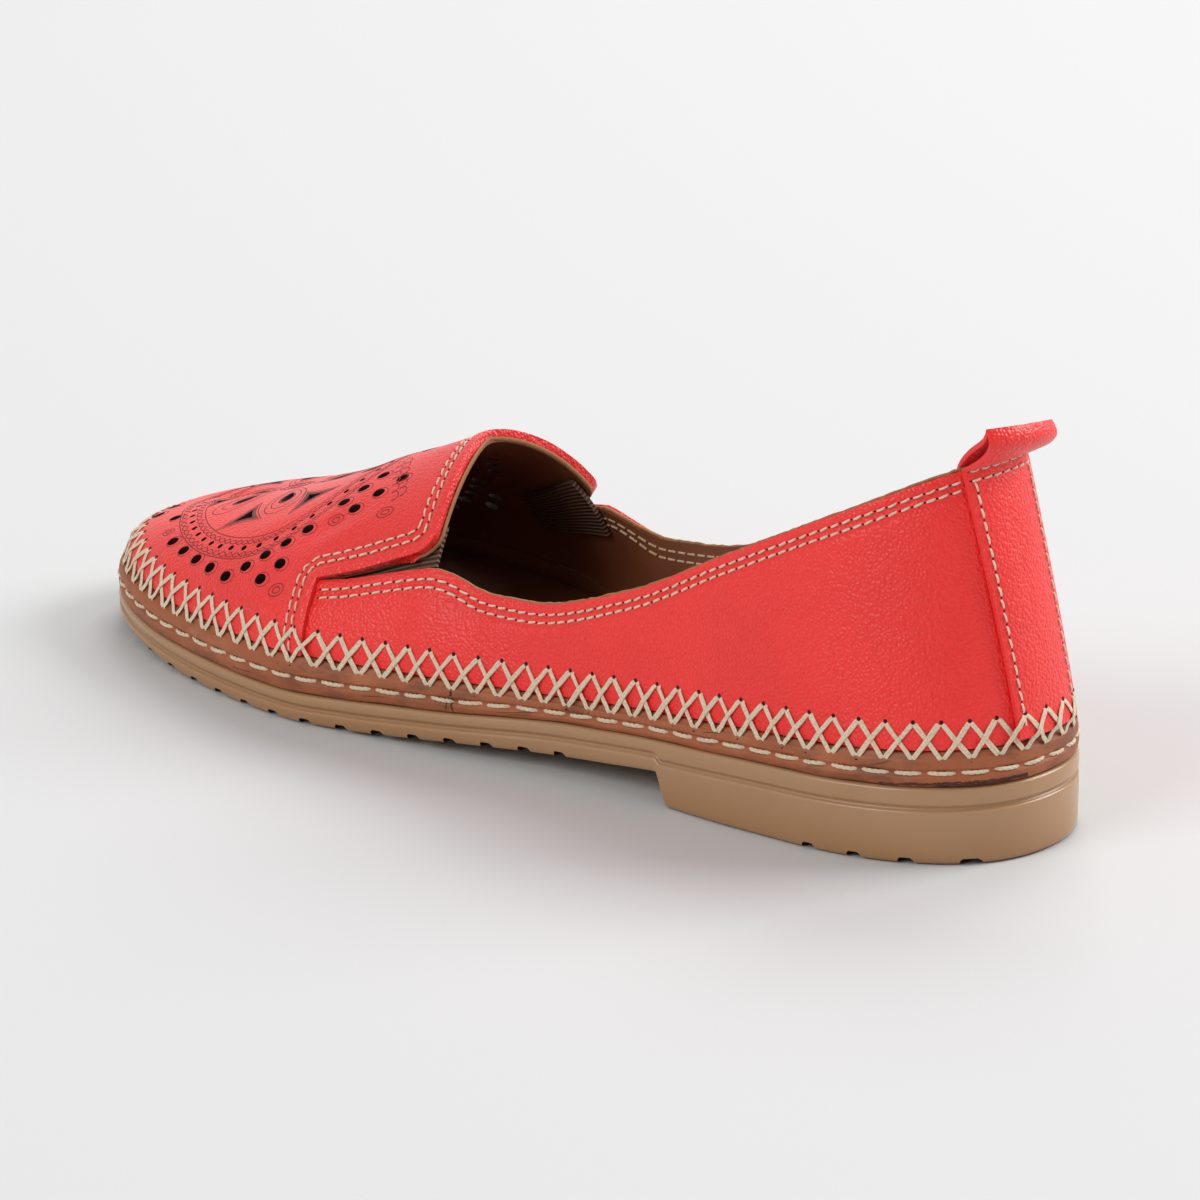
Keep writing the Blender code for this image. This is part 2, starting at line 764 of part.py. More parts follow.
def heel_place(y, rise):
    """Point of the heel's skin at a distance across and a rise, and the direction out."""
    side = 1 if y >= 0 else -1
    shares = np.linspace(0.0, 0.12, 200)
    middle = back_skin(0.0, side, rise)[1]
    across = np.array([side * (back_skin(share, side, rise)[1] - middle) for share in shares])
    share = max(float(np.interp(abs(y), across, shares)), 1e-5)
    place = Vector(back_skin(share, side, rise))
    small = 0.002
    up = Vector(back_skin(share, side, min(rise + small, 1.0)) - back_skin(share, side, rise - small))
    if abs(y) < 1e-4:
        across_vector = Vector((0, 1, 0))
    else:
        step = back_skin(share * 1.02, side, rise) - back_skin(share * 0.98, side, rise)
        across_vector = Vector(step) * side
    normal = across_vector.cross(up).normalized()
    return place, normal if normal.x < 0 else -normal


def build_back_strip(finish):
    """Strip down the back of the heel that rises into a pull loop and is sewn down inside."""
    rows_out = []
    rows_in = []
    for y in np.linspace(-STRIP_WIDTH / 2, STRIP_WIDTH / 2, 7):
        path = []
        for rise in np.linspace(0.012, 1.0, 9):
            place, normal = heel_place(y + STRIP_CENTRE * (1 - rise), rise)
            path.append((place + normal * GAP, place + normal * (GAP + STRIP_THICKNESS)))
        top, normal = heel_place(y, 1.0)
        twist = LOOP_TWIST * y
        peak = top + Vector((-LOOP_LEAN + 0.75 * twist, 0, LOOP_RISE + twist))
        start = top + normal * (GAP + STRIP_THICKNESS / 2)
        end = top - normal * (WALL + GAP + STRIP_THICKNESS / 2)
        half = STRIP_THICKNESS / 2
        bow = Vector((-0.3 * LOOP_LEAN, 0, 0))
        route = [start + (peak - start) * t + bow * math.sin(math.pi * t) for t in (0.33, 0.66, 0.92)]
        route += [peak + Vector((0.0009, 0, 0.0012))]
        route += [end + (peak - end) * t - bow * 0.5 * math.sin(math.pi * t) for t in (0.88, 0.6, 0.3)]
        depth = WALL + GAP
        inside = []
        for drop in np.linspace(0.0, 1.0, 4):
            rise = 1.0 - drop * LOOP_TUCK / (COLLAR_HEIGHT - HEEL_HEIGHT - BAND_HEIGHT)
            place, out = heel_place(y, rise)
            inside.append((place - out * (depth + STRIP_THICKNESS), place - out * depth))
        points = [(a + b) / 2 for a, b in path[-1:]] + route + [(a + b) / 2 for a, b in inside[:1]]
        for before, here, after in zip(points, points[1:], points[2:]):
            run = (after - before).normalized()
            out = Vector((-run.z, 0, run.x)).normalized()
            path.append((here - out * half, here + out * half))
        path += [(b, a) for a, b in inside]
        rows_in.append([a for a, b in path])
        rows_out.append([b for a, b in path])
    return add_sheet("back_strip", rows_out, rows_in, finish)


def main():
    for old in list(bpy.data.objects):
        bpy.data.objects.remove(old)
    rubber = material("gum_rubber", (0.50, 0.32, 0.16), 0.45)
    band = material("brown_leather", (0.30, 0.10, 0.03), 0.55)
    red = material("red_leather", (0.75, 0.03, 0.02), 0.42)
    lining = material("lining_leather", (0.25, 0.10, 0.04), 0.60)
    elastic = material("brown_elastic", (0.10, 0.05, 0.03), 0.80)
    build_outsole(rubber)
    build_midsole(band)
    build_insole(lining)
    cut(build_upper(red), build_punches())
    for side in (1, -1):
        build_gore(side, elastic)
    build_back_strip(red)


main()
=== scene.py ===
import math
import random

import bpy
import numpy as np
from mathutils import Matrix, Vector
from mathutils.bvhtree import BVHTree
from mathutils.geometry import barycentric_transform


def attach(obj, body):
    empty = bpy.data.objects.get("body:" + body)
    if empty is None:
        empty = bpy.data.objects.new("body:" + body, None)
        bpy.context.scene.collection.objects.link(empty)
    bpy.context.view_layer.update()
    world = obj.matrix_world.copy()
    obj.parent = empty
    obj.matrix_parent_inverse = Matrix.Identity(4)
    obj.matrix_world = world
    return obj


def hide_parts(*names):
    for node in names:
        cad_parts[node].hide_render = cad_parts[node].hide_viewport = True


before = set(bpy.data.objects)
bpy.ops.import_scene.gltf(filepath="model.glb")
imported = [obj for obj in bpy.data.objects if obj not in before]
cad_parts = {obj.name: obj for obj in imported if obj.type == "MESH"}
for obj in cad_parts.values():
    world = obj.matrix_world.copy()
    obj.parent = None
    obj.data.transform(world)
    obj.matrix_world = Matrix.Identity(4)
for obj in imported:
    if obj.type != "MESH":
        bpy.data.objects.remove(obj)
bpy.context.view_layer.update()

dice = random.Random(11)
print("frame loaded")

# The last: the same lengths as the solids, in metres

last = {
    "length": 0.258, "heelRest": 0.035, "breast": 0.080, "throat": 0.141, "lip": 0.155,
    "seam": 0.171, "toeRidge": 0.236, "heelWidth": 0.063, "ballWidth": 0.0885,
    "collarWidth": 0.056, "heelSwing": 0.0015, "toeSwing": 0.004, "ridgeSwing": 0.007,
    "heelHeight": 0.017, "breastHeight": 0.007, "toeSpring": 0.0045, "bandHeight": 0.008,
    "collarHeight": 0.0823, "medialDrop": 0.002, "lipHeight": 0.0578, "wall": 0.0018,
    "vampStep": 0.001, "inset": 0.0033, "gap": 0.0003, "slit": 0.003, "seamTurn": 0.456,
    "heelRound": (0.18, 2.2), "toeRound": (0.40, 2.35), "collarRound": (0.17, 2.3),
}
outlineTable = (  # along, lateral, medial
    (0.00, 1.000, 1.000), (0.17, 0.990, 0.985), (0.25, 1.003, 0.952), (0.35, 0.970, 0.835),
    (0.45, 0.917, 0.735), (0.55, 0.916, 0.790), (0.62, 0.948, 0.877), (0.68, 1.010, 0.963),
    (0.73, 1.024, 1.010), (0.80, 1.026, 1.035), (0.87, 1.030, 1.020), (1.00, 1.030, 0.980),
)
levelTable = (  # along, rubber top, band, inset
    (0.00, 1.000, 0.97, 0.36), (0.20, 0.930, 0.82, 0.36), (0.40, 0.735, 0.68, 0.36),
    (0.55, 0.510, 0.90, 0.38), (0.70, 0.385, 1.02, 0.60), (0.85, 0.400, 0.98, 0.90),
    (0.94, 0.450, 0.94, 1.00), (1.00, 0.505, 0.86, 1.00),
)
undersideTable = (  # along, arch, spring
    (0.31, 1.00, 0.00), (0.36, 0.82, 0.00), (0.50, 0.41, 0.00), (0.62, 0.05, 0.00),
    (0.68, 0.00, 0.00), (0.78, 0.00, 0.00), (0.90, 0.00, 0.35), (1.00, 0.00, 1.00),
)
toplineTable = (  # base along, top along, half width, height, bulge
    (0.000, 0.0510, 0.880, 0.992, 1.15), (0.020, 0.0580, 0.880, 0.986, 1.15),
    (0.050, 0.0770, 0.880, 0.960, 1.15), (0.100, 0.1150, 0.875, 0.901, 1.20),
    (0.170, 0.1700, 0.872, 0.816, 1.30), (0.250, 0.2450, 0.930, 0.697, 1.40),
    (0.350, 0.3450, 1.000, 0.537, 1.50), (0.450, 0.4520, 1.020, 0.434, 1.60),
    (0.500, 0.5050, 1.010, 0.425, 1.70), (0.546, 0.5590, 1.000, 0.458, 1.80),
)
ridgeTable = (  # along, height, swing, square
    (0.00, 1.000, 0.00, 1.80), (0.16, 0.895, 0.15, 1.80), (0.33, 0.792, 0.35, 1.80),
    (0.48, 0.690, 0.50, 1.80), (0.69, 0.565, 0.75, 1.80), (0.84, 0.490, 0.90, 1.85),
    (1.00, 0.402, 1.00, 1.90),
)
throat = last["throat"] / last["length"]
seam = last["seam"] / last["length"]


def readTable(table, number, share):
    # one column at a share along, on a smooth curve that never overshoots
    x = np.array([row[0] for row in table])
    y = np.array([row[number] for row in table])
    h = np.diff(x)
    rise = np.diff(y) / h
    slope = np.concatenate([rise[:1], np.zeros(len(x) - 2), rise[-1:]])
    for i in range(1, len(x) - 1):
        if rise[i - 1] * rise[i] > 0:
            slope[i] = 2 * rise[i - 1] * rise[i] / (rise[i - 1] + rise[i])
    share = np.clip(share, x[0], x[-1])
    i = np.clip(np.searchsorted(x, share, side="right") - 1, 0, len(x) - 2)
    t = (share - x[i]) / h[i]
    start = (1 + 2 * t) * (1 - t) ** 2 * y[i] + t * (1 - t) ** 2 * h[i] * slope[i]
    return start + t * t * (3 - 2 * t) * y[i + 1] - t * t * (1 - t) * h[i] * slope[i + 1]


def ease(value, start, end):
    t = np.clip((value - start) / (end - start), 0.0, 1.0)
    return t * t * (3 - 2 * t)


def roundEnd(distance, shape):
    t = np.clip(1 - distance / shape[0], 0.0, 1.0)
    return (1 - t ** shape[1]) ** (1 / shape[1])


def centreLine(share):
    return -last["heelSwing"] * (1 - ease(share, 0.0, 0.25)) - last["toeSwing"] * ease(share, 0.45, 1.0)


def edgeY(share, side):
    half = (last["heelWidth"] + (last["ballWidth"] - last["heelWidth"]) * ease(share, 0.30, 0.65)) / 2
    half = half * readTable(outlineTable, 1 if side > 0 else 2, share)
    ends = roundEnd(share, last["heelRound"]) * roundEnd(1 - share, last["toeRound"])
    return centreLine(share) + side * half * ends


def along(share):
    return share * last["length"] - last["heelRest"]


def rubberTop(share):
    return last["heelHeight"] * readTable(levelTable, 1, share)


def bandTop(share):
    return rubberTop(share) + last["bandHeight"] * readTable(levelTable, 2, share)


def soleBottom(share):
    breast = last["breast"] / last["length"]
    arch = last["breastHeight"] * readTable(undersideTable, 1, share)
    ahead = arch + last["toeSpring"] * readTable(undersideTable, 2, share)
    corner = last["breastHeight"] * ease(share, breast - 0.0136, breast)
    return np.where(share > breast, ahead, corner)


def edgeRing(shares, side, inset=0.0):
    # plan of the sole's edge, moved in along its own normal
    turn = np.linspace(0, math.pi, 721)
    dense = (1 - np.cos(turn)) / 2
    line = np.column_stack([along(dense), edgeY(dense, side)])
    slope = np.gradient(line, turn, axis=0)
    out = np.column_stack([slope[:, 1], -slope[:, 0]]) * -side
    out /= np.linalg.norm(out, axis=1)[:, None]
    out[0], out[-1] = (-1, 0), (1, 0)
    at = np.arccos(np.clip(1 - 2 * shares, -1, 1))
    here = np.column_stack([np.interp(at, turn, out[:, i]) for i in (0, 1)])
    here /= np.linalg.norm(here, axis=1)[:, None]
    place = np.column_stack([along(shares), edgeY(shares, side)])
    return place - here * np.broadcast_to(inset, shares.shape)[:, None]


def footPoints(shares, side):
    plan = edgeRing(shares, side, last["inset"] * readTable(levelTable, 3, shares))
    return np.column_stack([plan, bandTop(shares) + last["gap"]])


def ridgePoints(place):
    x = last["lip"] + (last["toeRidge"] - last["lip"]) * place - last["heelRest"]
    y = -last["ridgeSwing"] * readTable(ridgeTable, 2, place)
    return np.column_stack([x, y, last["lipHeight"] * readTable(ridgeTable, 1, place)])


def toplinePoints(shares, side):
    top = readTable(toplineTable, 1, shares)
    half = last["collarWidth"] / 2 * readTable(toplineTable, 2, shares)
    y = side * half * roundEnd(top - toplineTable[0][1], last["collarRound"]) + centreLine(top)
    height = last["collarHeight"] * readTable(toplineTable, 3, shares)
    if side < 0:
        height = height - last["medialDrop"] * ease(shares, 0.1, 0.35)
    return np.column_stack([along(top), y, height])


def between(foot, top, inward, rises):
    return np.column_stack([
        foot[:, 0] + (top[:, 0] - foot[:, 0]) * inward,
        foot[:, 1] + (top[:, 1] - foot[:, 1]) * inward,
        foot[:, 2] + (top[:, 2] - foot[:, 2]) * rises,
    ])


def vampSkin(shares, side, rises):
    place = np.clip((shares - throat) / (1 - throat), 0, 1)
    square = readTable(ridgeTable, 3, place)
    inward = 1 - (1 - np.clip(rises, 0, 1) ** square) ** (1 / square)
    return between(footPoints(shares, side), ridgePoints(place), inward, rises)


def sideRise(shares):
    foot = bandTop(np.array([throat]))[0] + last["gap"]
    edge = toplineTable[-1][3] * last["collarHeight"]
    start = (edge - foot) / (last["lipHeight"] - foot)
    return start + (last["seamTurn"] - start) * ease(shares, throat, seam)


def wingRise(shares):
    high = last["lipHeight"] - bandTop(np.array([throat]))[0]
    return sideRise(shares) + last["slit"] / high * np.clip((seam - shares) / (seam - throat), 0, 1) ** 0.7


def quarterSkin(shares, side, rises):
    inward = rises ** readTable(toplineTable, 4, shares)
    back = between(footPoints(shares, side), toplinePoints(shares, side), inward, rises)
    front = vampSkin(shares, side, rises * sideRise(shares))
    share = ease(shares, throat - 0.05, throat)[:, None]
    return back * (1 - share) + front * share


# Soft troughs that wearing and lasting leave: side, start (share, rise), end, width and depth in mm
creases = (
    (1, (0.72, 0.60), (0.655, 0.80), 3.2, 0.50), (1, (0.705, 0.50), (0.635, 0.66), 2.6, 0.38),
    (1, (0.78, 0.55), (0.70, 0.86), 3.6, 0.35), (1, (0.69, 0.30), (0.73, 0.52), 3.0, 0.30),
    (-1, (0.73, 0.60), (0.66, 0.82), 3.2, 0.45), (-1, (0.71, 0.42), (0.64, 0.62), 2.8, 0.35),
    (1, (0.845, 0.34), (0.80, 0.16), 3.4, 0.25), (-1, (0.85, 0.36), (0.80, 0.16), 3.4, 0.25),
)
quarterDents = (
    (1, (0.60, 0.25), (0.56, 0.80), 5.0, 0.45), (1, (0.47, 0.20), (0.44, 0.62), 6.0, 0.35),
    (1, (0.30, 0.15), (0.25, 0.55), 7.0, 0.40), (-1, (0.60, 0.25), (0.56, 0.80), 5.0, 0.45),
    (-1, (0.42, 0.20), (0.40, 0.70), 6.0, 0.40), (1, (0.64, 0.55), (0.58, 0.62), 3.0, 0.25),
)


def creaseLift(points, marks, skin):
    # how far each point is pushed in, with a soft ridge beside each trough
    lift = np.zeros(len(points))
    for side, start, end, width, depth in marks:
        steps = np.linspace(0, 1, 14)
        line = skin(start[0] + (end[0] - start[0]) * steps, side, start[1] + (end[1] - start[1]) * steps)
        gap = np.linalg.norm(points[:, None, :] - line[None], axis=2)
        nearest = gap.argmin(axis=1)
        far = gap.min(axis=1) / (width / 1000)
        fade = np.sin(math.pi * np.clip(steps[nearest], 0.06, 0.94)) ** 0.7
        lift += depth / 1000 * fade * (-np.exp(-far ** 2) + 0.45 * np.exp(-((far - 1.9) / 0.8) ** 2))
    return lift


def edgeRoll(distance, rows):
    # a folded edge stands a little proud, and each stitch row pulls it in
    roll = 0.00028 * np.exp(-((distance - 0.0013) / 0.0011) ** 2)
    for row in rows:
        roll -= 0.00026 * np.exp(-((distance - row) / 0.00055) ** 2)
    return roll


def lineGap(points, line):
    return np.min([np.linalg.norm(points - spot, axis=1) for spot in line], axis=0)


# Helpers for lines and meshes


def lengthsAlong(path):
    # the distance from the start of a line of points to each of them
    return np.concatenate([[0], np.cumsum(np.linalg.norm(np.diff(path, axis=0), axis=1))])


def placesAt(path, length, at):
    return np.column_stack([np.interp(at, length, path[:, i]) for i in range(path.shape[1])])


def edgeOut(shares, side):
    # the level direction out of the sole's edge
    out = np.append(edgeRing(shares, side, -0.01)[0] - edgeRing(shares, side, 0.0)[0], 0.0)
    return out / np.linalg.norm(out)


def pickOnly(*pieces):
    bpy.ops.object.select_all(action="DESELECT")
    for piece in pieces:
        piece.select_set(True)
    bpy.context.view_layer.objects.active = pieces[0]


def editAll(piece, operator, **settings):
    # one edit-mode operator on the whole mesh
    pickOnly(piece)
    bpy.ops.object.mode_set(mode="EDIT")
    bpy.ops.mesh.select_all(action="SELECT")
    operator(**settings)
    bpy.ops.object.mode_set(mode="OBJECT")


def gridNormals(points):
    across = np.gradient(points, axis=1)
    up = np.gradient(points, axis=0)
    normal = np.cross(across, up)
    return normal / np.maximum(np.linalg.norm(normal, axis=2), 1e-12)[:, :, None]


def layGrid(name, points, pattern=None):
    # a grid primitive laid on rows of points
    rows, columns = points.shape[:2]
    bpy.ops.object.select_all(action="DESELECT")
    bpy.ops.mesh.primitive_grid_add(x_subdivisions=columns - 1, y_subdivisions=rows - 1, size=2)
    piece = bpy.context.active_object
    piece.name = piece.data.name = name
    mesh = piece.data
    co = np.empty(len(mesh.vertices) * 3)
    mesh.vertices.foreach_get("co", co)
    column = np.rint((co[0::3] + 1) / 2 * (columns - 1)).astype(int)
    row = np.rint((co[1::3] + 1) / 2 * (rows - 1)).astype(int)
    mesh.vertices.foreach_set("co", points[row, column].ravel())
    corner = np.empty(len(mesh.loops), int)
    mesh.loops.foreach_get("vertex_index", corner)
    if pattern is None:
        flat = np.column_stack([column / (columns - 1), row / (rows - 1)])[corner]
    else:
        flat = pattern[row[corner], column[corner]]
    mesh.uv_layers[0].data.foreach_set("uv", flat.ravel())
    mesh.update()
    return piece


def joinPieces(pieces, within=2e-5):
    pickOnly(*pieces)
    bpy.ops.object.join()
    editAll(pieces[0], bpy.ops.mesh.remove_doubles, threshold=within)
    return pieces[0]


def faceOut(piece, toward):
    # turns the whole sheet round if it faces away from where it should
    total = sum(face.normal.dot(toward(face.center)) * face.area for face in piece.data.polygons)
    if total < 0:
        editAll(piece, bpy.ops.mesh.flip_normals)


def applyModifier(piece, kind, **settings):
    pickOnly(piece)
    modifier = piece.modifiers.new(kind.title(), kind)
    for key, value in settings.items():
        setattr(modifier, key, value)
    bpy.ops.object.modifier_apply(modifier=modifier.name)


def thicken(piece, wall, rounding, offset=-1):
    applyModifier(piece, "SOLIDIFY", thickness=wall, offset=offset, use_even_offset=False)
    if rounding:
        applyModifier(piece, "BEVEL", width=rounding, segments=3, limit_method="ANGLE",
                      angle_limit=math.radians(55), use_clamp_overlap=True)


def finishPiece(piece, finish, replaced=(), smooth=50):
    pickOnly(piece)
    if not piece.data.materials:
        piece.data.materials.append(finish)
    bpy.ops.object.shade_smooth_by_angle(angle=math.radians(smooth))
    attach(piece, "root")
    if replaced:
        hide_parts(*replaced)
    return piece


class MeshPile:
    # many small bodies gathered into one mesh
    def __init__(self):
        self.points, self.faces, self.count = [], [], 0

    def add(self, points, faces):
        self.points.append(np.asarray(points, float))
        self.faces.extend(tuple(self.count + i for i in face) for face in faces)
        self.count += len(points)

    def build(self, name):
        mesh = bpy.data.meshes.new(name)
        mesh.from_pydata(np.concatenate(self.points).tolist(), [], self.faces)
        mesh.update()
        piece = bpy.data.objects.new(name, mesh)
        bpy.context.scene.collection.objects.link(piece)
        return piece


def addTube(pile, path, normals, wide, thick, sides=6):
    # a closed flattened tube along a path; wide and thick may change along it
    path = np.asarray(path, float)
    tangent = np.gradient(path, axis=0)
    tangent /= np.linalg.norm(tangent, axis=1)[:, None]
    normal = normals - tangent * np.sum(normals * tangent, axis=1)[:, None]
    normal /= np.linalg.norm(normal, axis=1)[:, None]
    across = np.cross(tangent, normal)
    turn = np.linspace(0, 2 * math.pi, sides, endpoint=False)
    wide = np.broadcast_to(wide, (len(path),))[:, None, None] / 2
    thick = np.broadcast_to(thick, (len(path),))[:, None, None] / 2
    rings = path[:, None, :] + across[:, None, :] * wide * np.cos(turn)[None, :, None]
    rings = rings + normal[:, None, :] * thick * np.sin(turn)[None, :, None]
    faces = []
    for i in range(len(path) - 1):
        for j in range(sides):
            k = (j + 1) % sides
            faces.append((i * sides + j, i * sides + k, (i + 1) * sides + k, (i + 1) * sides + j))
    faces.append(tuple(range(sides))[::-1])
    faces.append(tuple(range((len(path) - 1) * sides, len(path) * sides)))
    pile.add(rings.reshape(-1, 3), faces)


def addStrand(pile, spots, wide, thick, sides=5):
    # a tube through places that come with the direction out of the surface there
    addTube(pile, [tuple(p) for p, _ in spots], np.array([tuple(n) for _, n in spots]), wide, thick, sides)


def prismFaces(count):
    # the sides and both ends of a prism, its corners given end by end
    faces = [(i, (i + 1) % count, count + (i + 1) % count, count + i) for i in range(count)]
    return faces + [tuple(range(count))[::-1], tuple(range(count, 2 * count))]


def resample(path, step):
    # even places along a line, as close to a step apart as fits
    path = np.asarray(path, float)
    length = lengthsAlong(path)
    count = max(2, int(round(length[-1] / step)) + 1)
    return placesAt(path, length, np.linspace(0, length[-1], count))


def snap(skin, points):
    # the nearest places of a surface and the directions out of it there
    places, normals = [], []
    for point in points:
        place, normal, _, _ = skin.find_nearest(Vector(point))
        places.append(place)
        normals.append(normal)
    normals = np.array(normals)
    smooth = normals.copy()
    for _ in range(2):
        smooth[1:-1] = (smooth[:-2] + smooth[1:-1] + smooth[2:]) / 3
    smooth /= np.linalg.norm(smooth, axis=1)[:, None]
    return np.array(places), smooth


def surfaceOf(piece):
    return BVHTree.FromObject(piece, bpy.context.evaluated_depsgraph_get())


# The finishes: colours first, then one material for each

finishes = {
    "red": (0.94, 0.022, 0.017), "redDeep": (0.70, 0.008, 0.006), "brown": (0.36, 0.098, 0.032),
    "brownDark": (0.12, 0.032, 0.011), "brownPale": (0.48, 0.175, 0.070), "gum": (0.42, 0.238, 0.118),
    "gumDeep": (0.36, 0.165, 0.056), "lining": (0.24, 0.072, 0.026), "thread": (0.78, 0.64, 0.46),
    "waxThread": (0.66, 0.50, 0.32), "elastic": (0.20, 0.105, 0.058), "raw": (0.42, 0.20, 0.08),
    "dark": (0.020, 0.006, 0.005), "etch": (0.24, 0.020, 0.014), "burnt": (0.22, 0.050, 0.042),
}


def darker(colour, share):
    return tuple(c * share for c in colour)


class Shader:
    # a material under construction: nodes are added and linked by name
    def __init__(self, name, colour, roughness):
        self.made = bpy.data.materials.new(name)
        self.made.use_nodes = True
        self.tree = self.made.node_tree
        self.main = self.tree.nodes["Principled BSDF"]
        self.main.inputs["Base Color"].default_value = (*colour, 1)
        self.main.inputs["Roughness"].default_value = roughness
        self.coords = self.tree.nodes.new("ShaderNodeTexCoord")

    def node(self, kind, inputs=None, **settings):
        node = self.tree.nodes.new(kind)
        for key, value in settings.items():
            setattr(node, key, value)
        for key, value in (inputs or {}).items():
            if isinstance(value, bpy.types.NodeSocket):
                self.tree.links.new(value, node.inputs[key])
            else:
                node.inputs[key].default_value = value
        return node

    def place(self, where="Object", scale=(1, 1, 1)):
        mapping = self.node("ShaderNodeMapping", {"Vector": self.coords.outputs[where], "Scale": scale})
        return mapping.outputs["Vector"]

    def noise(self, scale, detail=3.0, where=None, rough=0.5):
        vector = where or self.place()
        inputs = {"Vector": vector, "Scale": scale, "Detail": detail, "Roughness": rough}
        return self.node("ShaderNodeTexNoise", inputs).outputs["Fac"]

    def ramp(self, value, low, high):
        inputs = {"Value": value, "From Min": low, "From Max": high}
        return self.node("ShaderNodeMapRange", inputs, interpolation_type="SMOOTHSTEP").outputs["Result"]

    def mix(self, factor, first, second):
        node = self.node("ShaderNodeMix", data_type="RGBA")
        for key, value in ((0, factor), (6, first), (7, second)):
            if isinstance(value, bpy.types.NodeSocket):
                self.tree.links.new(value, node.inputs[key])
            else:
                node.inputs[key].default_value = value if key == 0 else (*value, 1)
        return node.outputs[2]

    def math(self, operation, first, second=0.0):
        return self.node("ShaderNodeMath", {0: first, 1: second}, operation=operation).outputs[0]

    def bump(self, height, distance, strength=1.0, before=None):
        inputs = {"Height": height, "Distance": distance, "Strength": strength}
        if before:
            inputs["Normal"] = before
        return self.node("ShaderNodeBump", inputs).outputs["Normal"]

    def link(self, value, name):
        self.tree.links.new(value, self.main.inputs[name])


def leatherRed():
    s = Shader("red_leather", finishes["red"], 0.42)
    tone = s.ramp(s.noise(38, 4), 0.35, 0.68)
    pebble = s.node("ShaderNodeTexVoronoi", {"Vector": s.place(), "Scale": 1450.0}, feature="SMOOTH_F1")
    pebble.inputs["Smoothness"].default_value = 0.35
    valley = s.ramp(pebble.outputs["Distance"], 0.25, 0.75)
    colour = s.mix(s.math("MULTIPLY", tone, 0.30), finishes["red"], finishes["redDeep"])
    colour = s.mix(s.math("MULTIPLY", valley, 0.22), colour, finishes["redDeep"])
    s.link(colour, "Base Color")
    grain = s.bump(pebble.outputs["Distance"], -0.00022, 1.0)
    fine = s.bump(s.noise(2400, 2), 0.00006, 0.5, grain)
    s.link(s.bump(s.noise(95, 3), 0.0004, 0.5, fine), "Normal")
    s.link(s.math("ADD", s.math("MULTIPLY", s.noise(60, 2), 0.14), 0.31), "Roughness")
    s.main.inputs["Specular IOR Level"].default_value = 0.55
    s.main.inputs["Sheen Weight"].default_value = 0.14
    s.main.inputs["Sheen Roughness"].default_value = 0.5
    return s.made


def leatherLining():
    s = Shader("lining_leather", finishes["lining"], 0.62)
    s.link(s.mix(s.noise(70, 4), finishes["lining"], darker(finishes["lining"], 0.55)), "Base Color")
    s.link(s.bump(s.noise(900, 3), 0.00006, 0.5), "Normal")
    return s.made


def leatherBand():
    s = Shader("brown_leather", finishes["brown"], 0.52)
    stretched = s.place(scale=(1.0, 1.0, 1.9))
    mottle = s.ramp(s.noise(52, 6, stretched, 0.66), 0.45, 0.64)
    wisps = s.ramp(s.noise(150, 5, s.place(scale=(0.6, 0.6, 2.2)), 0.7), 0.52, 0.70)
    pale = s.ramp(s.noise(85, 4), 0.50, 0.75)
    colour = s.mix(s.math("MULTIPLY", pale, 0.6), finishes["brown"], finishes["brownPale"])
    colour = s.mix(s.math("MULTIPLY", mottle, 0.66), colour, finishes["brownDark"])
    colour = s.mix(s.math("MULTIPLY", wisps, 0.35), colour, finishes["brownDark"])
    s.link(colour, "Base Color")
    rough = s.bump(s.noise(420, 5, None, 0.65), 0.00012, 0.6)
    s.link(s.bump(s.noise(1900, 3), 0.00005, 0.5, rough), "Normal")
    s.link(s.math("ADD", s.math("MULTIPLY", mottle, -0.14), 0.58), "Roughness")
    return s.made


def rubberGum():
    s = Shader("gum_rubber", finishes["gum"], 0.44)
    low = s.node("ShaderNodeSeparateXYZ", {"Vector": s.coords.outputs["Object"]}).outputs["Z"]
    deep = s.ramp(s.math("ADD", low, s.math("MULTIPLY", s.noise(22, 3), 0.004)), 0.012, 0.001)
    colour = s.mix(s.math("MULTIPLY", deep, 0.6), finishes["gum"], finishes["gumDeep"])
    colour = s.mix(s.math("MULTIPLY", s.ramp(s.noise(60, 4), 0.5, 0.8), 0.25), colour, finishes["gumDeep"])
    s.link(colour, "Base Color")
    s.main.inputs["Subsurface Weight"].default_value = 0.18
    s.main.inputs["Subsurface Radius"].default_value = (0.004, 0.002, 0.001)
    s.main.inputs["Subsurface Scale"].default_value = 1.0
    s.main.inputs["Coat Weight"].default_value = 0.25
    s.main.inputs["Coat Roughness"].default_value = 0.18
    s.link(s.bump(s.noise(260, 4), 0.00008, 0.35), "Normal")
    s.link(s.math("ADD", s.math("MULTIPLY", s.noise(40, 2), 0.18), 0.22), "Roughness")
    return s.made


def threadFinish(name, colour, scale):
    s = Shader(name, colour, 0.62)
    fibre = s.noise(scale, 3)
    s.link(s.mix(s.ramp(fibre, 0.35, 0.75), colour, darker(colour, 0.72)), "Base Color")
    s.link(s.bump(fibre, 0.00008, 0.6), "Normal")
    return s.made


def elasticFinish():
    s = Shader("brown_elastic", finishes["elastic"], 0.8)
    flat = s.node("ShaderNodeSeparateXYZ", {"Vector": s.coords.outputs["UV"]}).outputs["Y"]
    rib = s.math("SINE", s.math("MULTIPLY", flat, 2 * math.pi * 15))
    shade = s.ramp(rib, -0.6, 0.9)
    s.link(s.mix(shade, darker(finishes["elastic"], 0.25), finishes["elastic"]), "Base Color")
    s.link(s.bump(rib, 0.00025, 0.8), "Normal")
    return s.made


def plainFinish(name, colour, roughness, scale=900):
    s = Shader(name, colour, roughness)
    s.link(s.mix(s.noise(scale, 3), colour, darker(colour, 0.6)), "Base Color")
    return s.made


